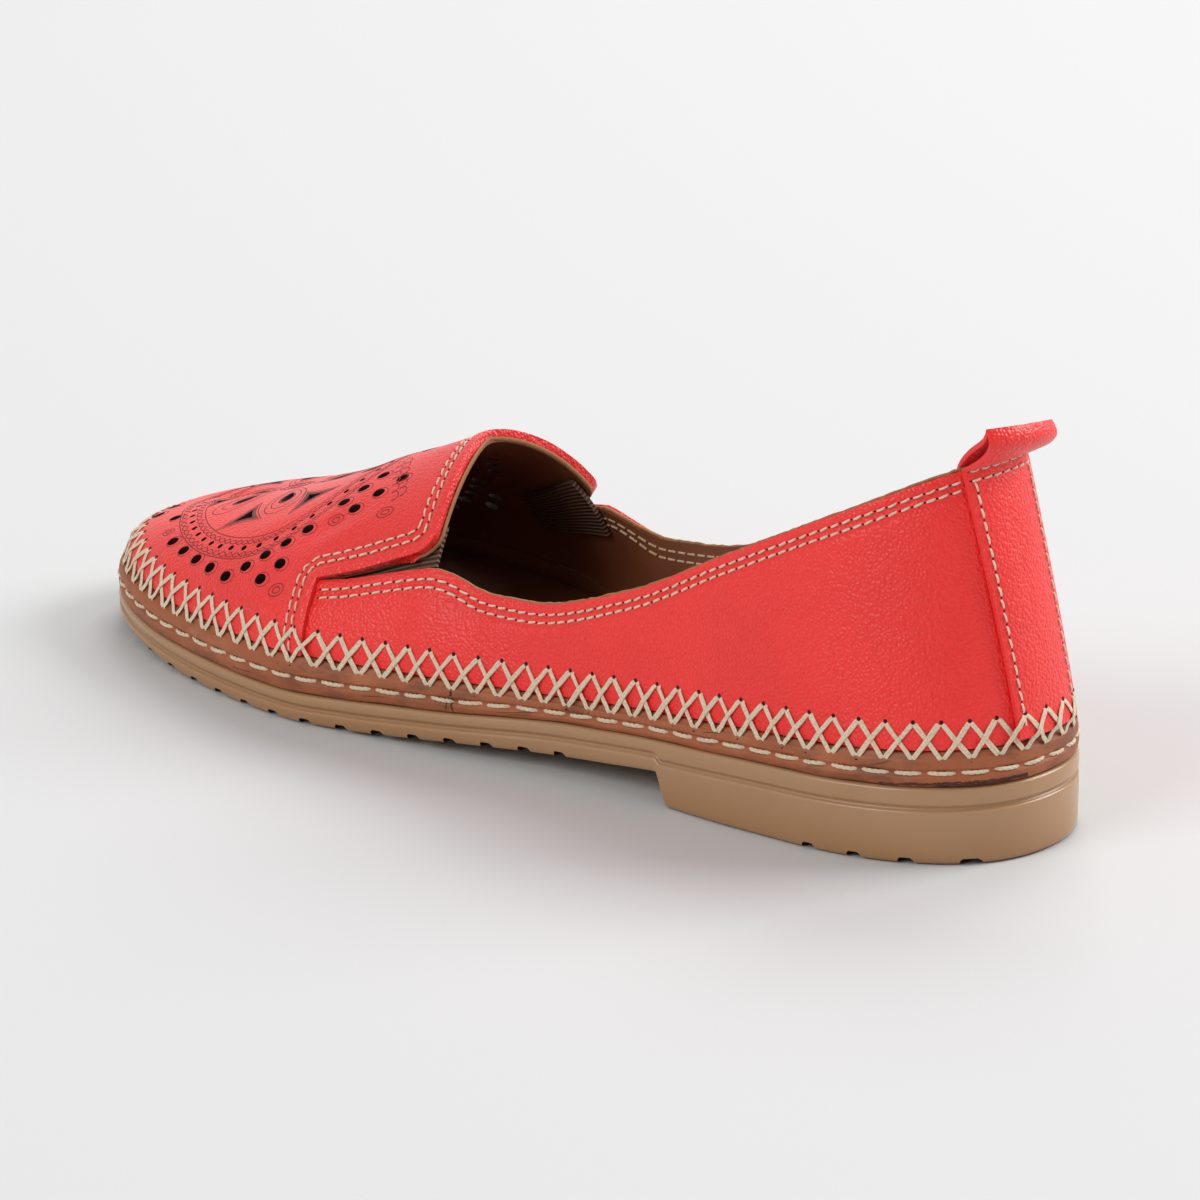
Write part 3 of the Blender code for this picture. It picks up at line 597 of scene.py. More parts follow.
redFinish = leatherRed()
liningFinish = leatherLining()
bandFinish = leatherBand()
gumFinish = rubberGum()
threadPale = threadFinish("pale_thread", finishes["thread"], 2600)
threadWax = threadFinish("waxed_thread", finishes["waxThread"], 1700)
elasticBrown = elasticFinish()
rawFinish = plainFinish("raw_leather_edge", finishes["raw"], 0.85)
# painted shade: this near-black finish on hole walls and needle holes stands for the shade inside the holes
holeShadeFinish = plainFinish("needle_hole_painted_shade", finishes["dark"], 0.9)
etchFinish = plainFinish("etched_line", finishes["etch"], 0.6)
burntFinish = plainFinish("burnt_leather", finishes["burnt"], 0.7, 1500)
print("finishes made")

# The upper: quarters, vamp and lining

upperSizes = {
    "quarterWall": 0.0011, "vampInner": 0.0011, "liningWall": 0.0006, "edgeRound": 0.0004,
    "lipRound": 0.0060, "stitchRows": (0.0030, 0.0052), "fineReach": 0.0075, "fineStep": 0.0005,
    "coarseStep": 0.0013, "tuck": 0.0020, "quarterReach": 0.050, "vampReach": 0.052,
    "seamStep": 0.0006, "tipRadius": 0.006, "innerShare": 0.84, "glue": 0.00005,
}


def fineThenCoarse(length, fineAtStart=True):
    # places along a length, close together near the edge that has stitches
    fine = np.arange(0, upperSizes["fineReach"], upperSizes["fineStep"])
    rest = np.arange(upperSizes["fineReach"], length, upperSizes["coarseStep"])
    places = np.concatenate([fine, rest, [length]]) / length
    return places if fineAtStart else 1 - places[::-1]


def outwardFromShoe(centre):
    return Vector((centre[0] - min(max(centre[0], 0.0), 0.17), centre[1], 0.25 * centre[2]))


quarterShares = np.concatenate([
    throat * (1 - np.cos(np.linspace(0, math.pi / 2, 90))),
    np.linspace(throat, seam + upperSizes["tuck"] / last["length"], 22)[1:],
])
quarterRises = fineThenCoarse(upperSizes["quarterReach"], fineAtStart=False)


def quarterHalf(side):
    rows, columns = len(quarterRises), len(quarterShares)
    points = quarterSkin(np.tile(quarterShares, rows), side, np.repeat(quarterRises, columns))
    return points.reshape(rows, columns, 3)


# from the medial side's far end back round the heel to the lateral side
quarterPoints = np.concatenate([quarterHalf(-1)[:, ::-1], quarterHalf(1)[:, 1:]], axis=1)
quarterNormals = gridNormals(quarterPoints)
quarterNormals *= 1 if quarterNormals[20, -30, 1] > 0 else -1


def quarterSurface(depth, rolled=True):
    lift = np.full(quarterPoints.shape[:2], depth)
    if rolled:
        down = np.linalg.norm(np.diff(quarterPoints, axis=0), axis=2)
        fromTop = np.concatenate([np.cumsum(down[::-1], axis=0)[::-1], np.zeros((1, down.shape[1]))])
        lift = lift + edgeRoll(fromTop, upperSizes["stitchRows"])
    lift = lift + creaseLift(quarterPoints.reshape(-1, 3), quarterDents, quarterSkin).reshape(lift.shape)
    return quarterPoints + quarterNormals * lift[:, :, None]


quarters = layGrid("quarters", quarterSurface(0.0))
faceOut(quarters, outwardFromShoe)
quarterOuter = surfaceOf(quarters)
thicken(quarters, upperSizes["quarterWall"], upperSizes["edgeRound"])
finishPiece(quarters, redFinish, ["upper"])
print("quarters made", len(quarters.data.polygons))


# The vamp: columns from the lip to the toe on both sides, rows from its lower edge to the ridge
beside = upperSizes["seamStep"] / last["length"]  # close columns on both sides of the seam
wingShares = throat + (seam - throat) * fineThenCoarse(last["seam"] - last["throat"])
wingShares = np.unique(np.concatenate([wingShares, seam - np.arange(11) * beside]))
frontStart = seam + 13.5 * beside
frontTurns = np.sin(np.linspace(0, math.pi / 2, 62))
frontShares = np.concatenate([seam + np.arange(1, 13) * beside, frontStart + (1 - frontStart) * frontTurns])
vampShares = np.concatenate([wingShares, frontShares])
topTurns = fineThenCoarse(upperSizes["vampReach"])
lowTurns = np.linspace(0, 1, 20)


def vampColumns(low, high, turns, shares, side, rounded=False):
    # a block of the vamp between two rises at each share
    rows, columns = len(turns), len(shares)
    share = np.tile(shares, (rows, 1))
    if rounded:  # the lip's lower corner is rounded forward
        up = turns[:, None] * upperSizes["vampReach"]
        bite = upperSizes["lipRound"]
        back = bite * (1 - np.sqrt(np.clip(1 - np.clip(1 - up / bite, 0, 1) ** 2, 0, 1)))
        start = throat + back / last["length"]
        share = np.where(share < seam, start + (share - throat) * (seam - start) / (seam - throat), share)
    place = np.clip((share - throat) / (1 - throat), 0, 1)
    square = readTable(ridgeTable, 3, place)
    bottom = low(share)
    first = np.arcsin(np.clip(bottom, 0, 1) ** (square / 2))
    top = high(share)
    final = np.arcsin(np.clip(top, 0, 1) ** (square / 2))
    angle = first + (final - first) * turns[:, None]
    rises = np.sin(angle) ** (2 / square)
    return vampSkin(share.ravel(), side, rises.ravel()).reshape(rows, columns, 3)


def bothSides(block):
    lateral, medial = block(1), block(-1)
    return np.concatenate([lateral, medial[:, -2::-1]], axis=1)


def noRise(share):
    return np.zeros_like(share)


def fullRise(share):
    return np.ones_like(share)


def topBlock(side):
    return vampColumns(wingRise, fullRise, topTurns, vampShares, side, rounded=True)


def lowBlock(side):
    return vampColumns(noRise, sideRise, lowTurns, np.concatenate([[seam], frontShares]), side)


def wholeBlock(side):
    return vampColumns(noRise, fullRise, np.linspace(0, 1, 60), vampShares, side)


def arcFromMiddle(points, sectionX):
    # girth from the ridge at each point, measured round the section at its x
    girth = np.zeros(points.shape[:2])
    half = points.shape[1] // 2
    for side, columns in ((1, np.arange(0, half + 1)), (-1, np.arange(points.shape[1] - 1, half - 1, -1))):
        block = points[:, columns]
        table = []
        for x in sectionX:
            spots = []
            for row in block[::-1]:
                if row[0, 0] <= x <= row[-1, 0]:
                    spots.append([np.interp(x, row[:, 0], row[:, 1]), np.interp(x, row[:, 0], row[:, 2])])
                else:
                    spots.append([np.nan] * 2 if x < row[0, 0] else [np.inf] * 2)
            spots = np.array(spots)
            inside = np.isfinite(spots[:, 0])
            arc = np.full(len(spots), np.nan)
            if inside.any():
                kept = spots[inside]
                start = 0.0
                if np.isinf(spots[0, 0]):  # ahead of the ridge the girth starts on the shoe's middle line
                    middle = block[:, -1]
                    middle = middle[np.argsort(middle[:, 0])]
                    start = np.linalg.norm(kept[0] - placesAt(middle[:, 1:], middle[:, 0], [x])[0])
                arc[inside] = start + lengthsAlong(kept)
            table.append(arc[::-1])
        table = np.array(table)
        for r in range(block.shape[0]):
            good = np.isfinite(table[:, r])
            if good.any():
                girth[r, columns] = side * np.interp(block[r, :, 0], sectionX[good], table[good, r])
    return girth


topSkin = bothSides(topBlock)
lowSkin = bothSides(lowBlock)
wholeSkin = bothSides(wholeBlock)
wholeGirth = arcFromMiddle(wholeSkin, np.arange(0.105, 0.222, 0.0015))


def girthAt(points):
    # girth of other points, by the nearest points of the whole skin
    corners, flat = wholeSkin.reshape(-1, 3), wholeGirth.reshape(-1)
    rows, columns = wholeSkin.shape[:2]
    faces = [(r * columns + c, r * columns + c + 1, (r + 1) * columns + c + 1, (r + 1) * columns + c)
             for r in range(rows - 1) for c in range(columns - 1)]
    tree = BVHTree.FromPolygons(corners.tolist(), faces)
    found = []
    for point in points.reshape(-1, 3):
        place, _, index, _ = tree.find_nearest(Vector(point))
        ids = np.array(faces[index])
        weight = 1 / (np.linalg.norm(corners[ids] - np.array(place), axis=1) + 1e-6)
        found.append((flat[ids] * weight).sum() / weight.sum())
    return np.array(found).reshape(points.shape[:2])


topGirth = girthAt(topSkin)
lowGirth = girthAt(lowSkin)
topFlip = 1 if gridNormals(topSkin)[-3, 40, 2] > 0 else -1
lowFlip = 1 if gridNormals(lowSkin)[5, 20, 1] > 0 else -1
seamColumn = int(np.argmin(abs(vampShares - seam)))
lipEdges = []
for side in (1, -1):
    block = topBlock(side)
    edges = (block[::-1, 0], block[0, :seamColumn + 1], lowBlock(side)[::-1, 0])  # lip, slit, seam
    lipEdges.append(np.concatenate([resample(line, 0.0008) for line in edges]))


def vampLift(points, depth, rolled=True):
    flat = points.reshape(-1, 3)
    lift = np.full(len(flat), depth)
    if rolled:
        distance = np.minimum(lineGap(flat, lipEdges[0]), lineGap(flat, lipEdges[1]))
        lift = lift + edgeRoll(distance, upperSizes["stitchRows"])
    lift = lift + creaseLift(flat, creases, vampSkin)
    return lift.reshape(points.shape[:2])[:, :, None]


def cleanTip(piece, tip):
    # at the front end of the ridge the columns run together: they are merged there and evened out
    editAll(piece, bpy.ops.mesh.select_all, action="DESELECT")
    for vertex in piece.data.vertices:
        vertex.select = (vertex.co - tip).length < upperSizes["tipRadius"]
    bpy.ops.object.mode_set(mode="EDIT")
    bpy.ops.mesh.remove_doubles(threshold=0.0004)
    bpy.ops.mesh.vertices_smooth(factor=0.5, repeat=6)
    bpy.ops.object.mode_set(mode="OBJECT")
    editAll(piece, bpy.ops.mesh.normals_make_consistent, inside=False)


def vampSheet(name, depth, rolled=True):
    topNormals = gridNormals(topSkin) * topFlip
    topNormals[-1] = topNormals[-2]
    lowNormals = gridNormals(lowSkin) * lowFlip
    joint = lowSkin.shape[1]
    first = (topSkin.shape[1] - joint) // 2
    lowNormals[-1] = topNormals[0, first:first + joint]
    topPoints = topSkin + topNormals * vampLift(topSkin, depth, rolled)
    lowPoints = lowSkin + lowNormals * vampLift(lowSkin, depth, rolled)
    lowPoints[-1] = topPoints[0, first:first + joint]
    half = topPoints.shape[1] // 2
    # evened out over the ridge, from one foot to the other
    over = np.concatenate([topPoints[:, :half + 1], topPoints[-2::-1, :half - 1:-1]])
    ridge = topPoints.shape[0] - 1
    soft = np.exp(-((np.arange(len(over)) - ridge) / 5.0) ** 2)[:, None, None]
    for _ in range(40):
        over[1:-1] += soft[1:-1] * 0.5 * ((over[:-2] + over[2:]) / 2 - over[1:-1])
    topPoints[:, :half + 1] = over[:ridge + 1]
    topPoints[:, :half - 1:-1] = over[:ridge - 1:-1]
    top = layGrid(name, topPoints, np.stack([topSkin[:, :, 0], topGirth], axis=2))
    low = layGrid(name + "Low", lowPoints, np.stack([lowSkin[:, :, 0], lowGirth], axis=2))
    made = joinPieces([top, low])
    cleanTip(made, Vector(ridgePoints(np.array([1.0]))[0]))
    faceOut(made, lambda centre: Vector((0.25 * (centre[0] - 0.13), centre[1], centre[2])))
    return made


vamp = vampSheet("vamp", last["vampStep"])
vampOuter = surfaceOf(vamp)


def flatTreeOf(piece):
    # the sheet laid flat on its pattern, to find the place of a point of the ornament
    mesh = piece.data
    uv = mesh.uv_layers[0].data
    mesh.calc_loop_triangles()
    flat, solid, faces = [], [], []
    for triangle in mesh.loop_triangles:
        base = len(flat)
        for loop, vertex in zip(triangle.loops, triangle.vertices):
            flat.append((*uv[loop].uv, 0.0))
            solid.append(mesh.vertices[vertex].co.copy())
        faces.append((base, base + 1, base + 2))
    return BVHTree.FromPolygons(flat, faces), flat, solid


vampFlat, flatCorners, solidCorners = flatTreeOf(vamp)


def onVamp(u, v, lift=0.0):
    # the place at a distance along the shoe and a girth from the ridge; the inner side is narrower
    v = v * upperSizes["innerShare"] if v < 0 else v
    flat, _, index, _ = vampFlat.find_nearest(Vector((u, v, 0.0)))
    a, b, c = (Vector(flatCorners[3 * index + i]) for i in range(3))
    p, q, r = (solidCorners[3 * index + i] for i in range(3))
    place = barycentric_transform(flat, a, b, c, p, q, r)
    _, normal, _, _ = vampOuter.find_nearest(place)
    return place + normal * lift, normal


thicken(vamp, upperSizes["vampInner"] + last["vampStep"], upperSizes["edgeRound"])
print("vamp sheet made", len(vamp.data.polygons))

# The pierced ornament: petals and hollow triangles in a ring of dots, with rows of ovals round it
ornament = {
    "centre": 0.1670, "ringAhead": 0.0385, "ringBehind": 0.0215, "ringAcross": 0.0331,
    "aheadPower": 1.8, "behindPower": 2.3, "dots": 46, "dot": 0.00155,
    "ovalLong": 0.0034, "ovalShort": 0.0026, "scallops": 46, "scallopDeep": 0.0011, "etchWide": 0.00025,
    "dotClear": 0.0026, "rosette": 0.1818,
}
petals = (  # along, girth, way out in degrees, cut, petal
    (0.1878, 0.0105, 80, (0.0062, 0.0024), (0.0176, 0.0084)),
    (0.1714, 0.0128, 122, (0.0066, 0.0029), (0.0190, 0.0094)),
    (0.1668, 0.0000, 180, (0.0058, 0.0026), (0.0176, 0.0084)),
    (0.1935, 0.0000, 0, (0.0050, 0.0022), (0.0140, 0.0066)),
    (0.1515, 0.0052, 190, (0.0030, 0.0014), (0.0060, 0.0036)),
)
triangles = (  # along, girth, way out in degrees, cut, scorched
    (0.1766, 0.0212, 106, 0.0031, 0.0060), (0.1603, 0.0158, 146, 0.0032, 0.0063),
    (0.1972, 0.0098, 40, 0.0021, 0.0044),
)
ovalRows = (  # along, turn, step along, step turn, count
    (0.984, 0.416, -0.0380, 0.088, 2), (0.897, 0.361, -0.0288, -0.022, 5),
    (0.762, 0.339, -0.0170, 0.063, 4), (0.733, 0.295, -0.0150, 0.077, 2),
    (0.688, 0.648, -0.0110, 0.070, 3), (0.665, 0.615, -0.0190, 0.065, 3),
)
middleOvals = ((0.995, 0.500), (0.649, 1.000))
rosetteRings = ((0.0010, 0.0), (0.0019, 0.0), (0.0027, 0.0006), (0.0035, 0.0007))  # size, lobe
etchedRounds = (  # along, girth, size
    (0.1284, 0.0254, 0.0042), (0.1420, 0.0271, 0.0042), (0.1475, 0.0450, 0.0042), (0.1978, 0.0257, 0.0032),
)


def vampSpot(share, turn, side):
    share = np.array([share])
    square = readTable(ridgeTable, 3, np.clip((share - throat) / (1 - throat), 0, 1))
    point = vampSkin(share, side, np.sin(turn * math.pi / 2) ** (2 / square))[0]
    place, normal, _, _ = vampOuter.find_nearest(Vector(point))
    return place, normal


def addPunch(pile, place, normal, outline):
    # a straight cutter through the leather, its outline's first axis along the shoe
    across = normal.cross(Vector((1, 0, 0))).normalized()
    ahead = across.cross(normal).normalized()
    points = [list(place + normal * depth + ahead * a + across * b)
              for depth in (-0.0052, 0.0016) for a, b in outline]
    pile.add(points, prismFaces(len(outline)))


def ovalOutline(long, short, count=16):
    turn = np.linspace(0, 2 * math.pi, count, endpoint=False)
    return [(long / 2 * math.cos(t), short / 2 * math.sin(t)) for t in turn]


def turned(middle, turn, outline):
    # an outline on the pattern, turned and set at its place
    c, s = math.cos(turn), math.sin(turn)
    return [(middle[0] + a * c - b * s, middle[1] + a * s + b * c) for a, b in outline]


def teardrop(long, wide, count=26):
    # round at one end, pointed at the end nearer the heart
    t = np.linspace(0, 2 * math.pi, count, endpoint=False)
    return [(long / 2 * math.cos(a), wide * 0.62 * math.sin(a) * abs(math.cos(a / 2)) ** 0.9) for a in t]


def hollowTriangle(size, bow=0.22, steps=6):
    # three sides that curve in, one corner toward the heart
    corners = [(size * math.cos(a), size * 0.95 * math.sin(a)) for a in (math.pi, math.pi / 3, -math.pi / 3)]
    line = []
    for i in range(3):
        (x0, y0), (x1, y1) = corners[i], corners[(i + 1) % 3]
        for t in np.linspace(0, 1, steps, endpoint=False):
            pull = 1 - bow * 4 * t * (1 - t)
            line.append(((x0 + (x1 - x0) * t) * pull, (y0 + (y1 - y0) * t) * pull))
    return line


def bothHalves(rows):
    # each shape and its mirror image across the ridge; shapes on the ridge only once
    for u, v, degrees, *sizes in rows:
        for side in (1, -1) if v else (1,):
            yield (u, v * side), math.radians(degrees) * side, sizes


def ringPoint(turn, grow=0.0):
    # the ring of dots: blunt behind and longer ahead
    c, s = math.cos(turn), math.sin(turn)
    power = ornament["aheadPower"] if c > 0 else ornament["behindPower"]
    reach = ornament["ringAhead"] if c > 0 else ornament["ringBehind"]
    u = math.copysign(abs(c) ** (2 / power), c) * (reach + grow)
    v = math.copysign(abs(s) ** (2 / power), s) * (ornament["ringAcross"] + grow)
    return ornament["centre"] + u, v


ovals = [(*spot, 1) for spot in middleOvals]
for share, turn, stepShare, stepTurn, count in ovalRows:
    for i in range(count):
        ovals += [(share + i * stepShare, turn + i * stepTurn, side) for side in (1, -1)]
punches = MeshPile()
ovalSpots = []
punchOval = ovalOutline(ornament["ovalLong"], ornament["ovalShort"])
for share, turn, side in ovals:
    place, normal = vampSpot(share, turn, side)
    ovalSpots.append((place.copy(), normal.copy()))
    addPunch(punches, place, normal, punchOval)


def punchPattern(outline, depth=0.0042):
    # a cutter through the leather under an outline drawn on the pattern
    spots = [onVamp(u, v) for u, v in outline]
    normal = sum((n for _, n in spots), Vector()).normalized()
    middle = sum((p for p, _ in spots), Vector()) / len(spots)
    points = [list(p + normal * (h - (p - middle).dot(normal))) for h in (-depth, 0.0016) for p, _ in spots]
    punches.add(points, prismFaces(len(spots)))
    return middle


taken = [place for place, _ in ovalSpots]
for middle, turn, (cut, petal) in bothHalves(petals):
    taken.append(punchPattern(turned(middle, turn, teardrop(*cut))))
for middle, turn, (cut, scorched) in bothHalves(triangles):
    taken.append(punchPattern(turned(middle, turn, hollowTriangle(cut, 0.1))))
ringLine = np.array([ringPoint(t) for t in np.linspace(0, 2 * math.pi, 721)])
ringLength = lengthsAlong(ringLine)
for k in range(ornament["dots"]):
    u, v = (float(c) for c in placesAt(ringLine, ringLength, [ringLength[-1] * k / ornament["dots"]])[0])
    place, normal = onVamp(u, v)
    atRidgeTip = u > 0.2 and abs(v) < 0.006
    if min((place - spot).length for spot in taken) > ornament["dotClear"] and not atRidgeTip:
        taken.append(place)
        addPunch(punches, place, normal, ovalOutline(ornament["dot"], ornament["dot"], 8))


def cutHoles(piece, pile, wallFinish):
    # the walls of the holes keep the cutter's finish
    cutter = pile.build(piece.name + "Punches")
    cutter.data.materials.append(wallFinish)
    editAll(cutter, bpy.ops.mesh.normals_make_consistent, inside=False)
    applyModifier(piece, "BOOLEAN", operation="DIFFERENCE", object=cutter, solver="EXACT",
                  material_mode="TRANSFER")
    bpy.data.objects.remove(cutter)


vamp.data.materials.append(redFinish)
# the walls of the ornament's holes take the near-black painted shade finish
cutHoles(vamp, punches, holeShadeFinish)
finishPiece(vamp, redFinish, ["upper"], smooth=35)
print("vamp pierced", len(vamp.data.polygons))

# Engraved and scorched lines round the cut-outs
etchPile, burntPile = MeshPile(), MeshPile()


def etchLine(points, closed=False):
    # a fine engraved line through places on the pattern
    line = resample(list(points) + ([points[0]] if closed else []), 0.0006)
    addStrand(etchPile, [onVamp(u, v, 0.00001) for u, v in line], ornament["etchWide"], 0.00007, 4)


def scorch(outer, inner):
    # a scorched rim between a cut-out and the outline round it
    rings = [[onVamp(u, v, 0.00003) for u, v in line] for line in (outer, inner)]
    points = [list(p) for ring in rings for p, _ in ring]
    points += [list(p - n * 0.00012) for ring in rings for p, n in ring]
    count = len(outer)
    faces = []
    for i in range(count):
        j = (i + 1) % count
        faces += [(i, j, count + j, count + i), (2 * count + j, 2 * count + i, 3 * count + i, 3 * count + j)]
        faces += [(j, i, 2 * count + i, 2 * count + j), (count + i, count + j, 3 * count + j, 3 * count + i)]
    burntPile.add(points, faces)


def scallopRing(grow, start, deep):
    count = ornament["scallops"]
    return [ringPoint(t, grow + deep * abs(math.sin(count * t / 2 + start)))
            for t in np.linspace(0, 2 * math.pi, count * 7, endpoint=False)]


for grow in (-0.0026, 0.0010):
    for start in (0.0, math.pi / 2):
        etchLine(scallopRing(grow, start, ornament["scallopDeep"] * 1.4), True)
for grow in (-0.0031, 0.0030):
    etchLine([ringPoint(t, grow) for t in np.linspace(0, 2 * math.pi, 120, endpoint=False)], True)
for middle, turn, (cut, petal) in bothHalves(petals):
    for size in (1.0, 0.72):
        etchLine(turned(middle, turn, teardrop(petal[0] * size, petal[1] * size, 40)), True)
    scorch(*[turned(middle, turn, teardrop(cut[0] + g * 2.4, cut[1] + g * 1.5)) for g in (0.0007, 0.0)])
for middle, turn, (cut, scorched) in bothHalves(triangles):
    rim, hole = hollowTriangle(scorched, 0.24), hollowTriangle(cut * 1.02, 0.1)
    scorch(turned(middle, turn, rim), turned(middle, turn, hole))
for size, lobe in rosetteRings:  # where the petals meet
    line = []
    for t in np.linspace(0, 2 * math.pi, 60, endpoint=False):
        reach = size + lobe * abs(math.sin(5 * t))
        line.append((ornament["rosette"] + reach * math.cos(t), reach * math.sin(t)))
    etchLine(line, True)
for middle, turn, (cut, scorched) in bothHalves(triangles):
    etchLine(turned(middle, turn, hollowTriangle(scorched * 1.22, 0.22)), True)
for side in (1, -1):
    for u, v, long in etchedRounds:
        for size in (1.0, 0.5):
            line = ovalOutline(long * size, long * 0.72 * size, 18)
            etchLine([(u + a, side * v + b) for a, b in line], True)
    for offset in (0.0, 0.0018):  # curls between the ring and the lip
        line = []
        for t in np.linspace(0, 1, 160):
            u = 0.1390 - 0.0125 * t + offset * 0.8 + 0.0009 * math.sin(t * 40)
            line.append((u, side * (0.0050 + 0.0160 * t + offset * 0.7) + 0.0009 * math.cos(t * 40)))
        etchLine(line)
for place, normal in ovalSpots:
    across = normal.cross(Vector((1, 0, 0))).normalized()
    ring = []
    for a, b in ovalOutline(ornament["ovalLong"] * 1.32, ornament["ovalShort"] * 1.32, 18):
        spot = place + across.cross(normal) * (a - 0.00055) + across * b
        near, out, _, _ = vampOuter.find_nearest(spot)
        ring.append((near + out * 0.00001, out))
    addStrand(etchPile, ring + ring[:1], ornament["etchWide"] * 0.8, 0.00007, 4)
engraved = etchPile.build("engravedLines")
finishPiece(engraved, etchFinish)
rims = burntPile.build("scorchedRims")
finishPiece(rims, burntFinish)
print("ornament engraved", len(engraved.data.polygons))

# The lining follows both inside the red leather
quarterInside = quarterSurface(-upperSizes["quarterWall"] - upperSizes["glue"], rolled=False)
quarterLining = layGrid("quarterLining", quarterInside)
faceOut(quarterLining, outwardFromShoe)
thicken(quarterLining, upperSizes["liningWall"], 0)
finishPiece(quarterLining, liningFinish)
vampLining = vampSheet("vampLining", -upperSizes["vampInner"] - upperSizes["glue"], rolled=False)
thicken(vampLining, upperSizes["liningWall"], 0)
liningPunches = MeshPile()
for place, normal in ovalSpots:
    addPunch(liningPunches, place, normal, ovalOutline(ornament["ovalLong"], ornament["ovalShort"], 10))
vampLining.data.materials.append(liningFinish)
# the walls of the lining's holes take the near-black painted shade finish
cutHoles(vampLining, liningPunches, holeShadeFinish)
finishPiece(vampLining, liningFinish)

# The raw edge of the red leather along the topline and the lip
edgePile = MeshPile()
line = resample(quarterSurface(-upperSizes["quarterWall"])[-1], 0.0012)
line[:, 2] += 0.0001 + np.array([dice.uniform(-0.00012, 0.00012) for _ in range(len(line))])
addTube(edgePile, line, np.tile([0.0, 0.0, 1.0], (len(line), 1)), 0.0009, 0.0007, 6)
inner = topSkin - gridNormals(topSkin) * topFlip * upperSizes["vampInner"]
line = resample(np.concatenate([inner[:, 0], inner[::-1, -1]]), 0.0012) + np.array([-0.0001, 0, 0])
addTube(edgePile, line, np.tile([-1.0, 0.0, 0.1], (len(line), 1)), 0.0010, 0.0006, 6)
rawEdge = edgePile.build("rawEdge")
finishPiece(rawEdge, rawFinish)
print("lining made")

# The sole: gum unit, leather covered band and insole

soleSizes = {
    "lipDepth": 0.0042, "lipShare": 0.40, "grooveWidth": 0.0007, "grooveDepth": 0.0008,
    "treadWidth": 0.003, "treadDepth": 0.0013,
    "treadPitch": 0.0092, "treadReach": 0.021, "channelShare": 0.42, "channelWidth": 0.0016,
    "channelDepth": 0.0006, "bandFloor": 0.0018, "insole": 0.003,
}


def bothEdges(shares, ring):
    # the lateral and the medial half of a ring, each from the heel to the toe
    return [np.column_stack([edgeRing(shares, side, ring[:, 0]), ring[:, 1]]) for side in (1, -1)]


def closedRings(name, shares, profile, finishRings=None):
    # stacked rings round the shoe, closed by a lid across the first and the last
    halves = [bothEdges(shares, ring) for ring in profile]
    rings = np.array([np.concatenate([lateral, medial[-2::-1]]) for lateral, medial in halves])
    parts = [layGrid(name, finishRings(rings) if finishRings else rings)]
    for lateral, medial in (halves[0], halves[-1]):
        steps = np.linspace(0, 1, 11)[:, None, None]
        parts.append(layGrid(name + "Lid", lateral + (medial - lateral) * steps))
    piece = joinPieces(parts)
    editAll(piece, bpy.ops.mesh.normals_make_consistent, inside=False)
    return piece


def smoothProfile(knots):
    # inset and height of each ring, with the corners of the profile softened
    knots = [np.stack([np.broadcast_to(v, knots[-1][1].shape) for v in knot], axis=1) for knot in knots]
    knots = np.stack(knots)
    for _ in range(2):
        after = knots[1:]
        cut = np.stack([knots[:-1] * 0.75 + after * 0.25, knots[:-1] * 0.25 + after * 0.75], axis=1)
        knots = np.concatenate([knots[:1], cut.reshape(-1, *knots.shape[1:]), knots[-1:]])
    return knots


soleShares = (1 - np.cos(np.linspace(0, math.pi, 230))) / 2
breastAt = last["breast"] / last["length"]
soleShares = np.unique(np.concatenate([soleShares, breastAt + np.linspace(-0.016, 0.006, 12)]))
rubber, bottom = rubberTop(soleShares), soleBottom(soleShares)
lip = np.minimum(soleSizes["lipDepth"], soleSizes["lipShare"] * (rubber - bottom))
groove = soleSizes["grooveWidth"]
knots = [
    (0.0030, bottom), (0.0009, bottom), (0.0002, bottom + 0.0009), (0.0, rubber - lip - groove * 2.4),
    (0.0001, rubber - lip - groove * 1.5), (soleSizes["grooveDepth"], rubber - lip - groove),
    (soleSizes["grooveDepth"], rubber - lip - groove * 0.3), (0.0001, rubber - lip + groove * 0.5),
    (0.0, rubber - lip + groove * 1.3), (0.0, rubber - 0.0010), (0.0003, rubber - 0.0003),
    (0.0012, rubber), (0.0040, rubber),
]
outsole = closedRings("gumSole", soleShares, smoothProfile(knots))


def treadNotches():
    # notches through the lower edge of the forefoot and waist, and round the back of the heel
    pile = MeshPile()
    pitch = soleSizes["treadPitch"] / last["length"]
    ahead = [(share, True) for share in np.arange(0.41, 0.955, pitch)]
    behind = [(share, False) for share in np.arange(0.025, 0.5 * breastAt, pitch * 1.15)]
    for share, isAhead in ahead + behind:
        floor = float(soleBottom(np.array([share]))[0]) if isAhead else 0.0
        for side in (1, -1):
            edge = float(edgeY(np.array([share]), side)[0])
            start = edge - side * min(soleSizes["treadReach"], abs(edge) * 0.55)
            end = edge + side * 0.01
            half, high = soleSizes["treadWidth"] / 2, floor + soleSizes["treadDepth"]
            outline = [(-half - 0.0004, -0.006), (half + 0.0004, -0.006), (half, high - 0.0006),
                       (half - 0.0005, high), (-half + 0.0005, high), (-half, high - 0.0006)]
            points = [(along(share) + a, y, b) for y in (start, end) for a, b in outline]
            pile.add(points, prismFaces(6))
    return pile


outsole.data.materials.append(gumFinish)
cutHoles(outsole, treadNotches(), gumFinish)
finishPiece(outsole, gumFinish, ["outsole"], smooth=38)
print("sole made", len(outsole.data.polygons))

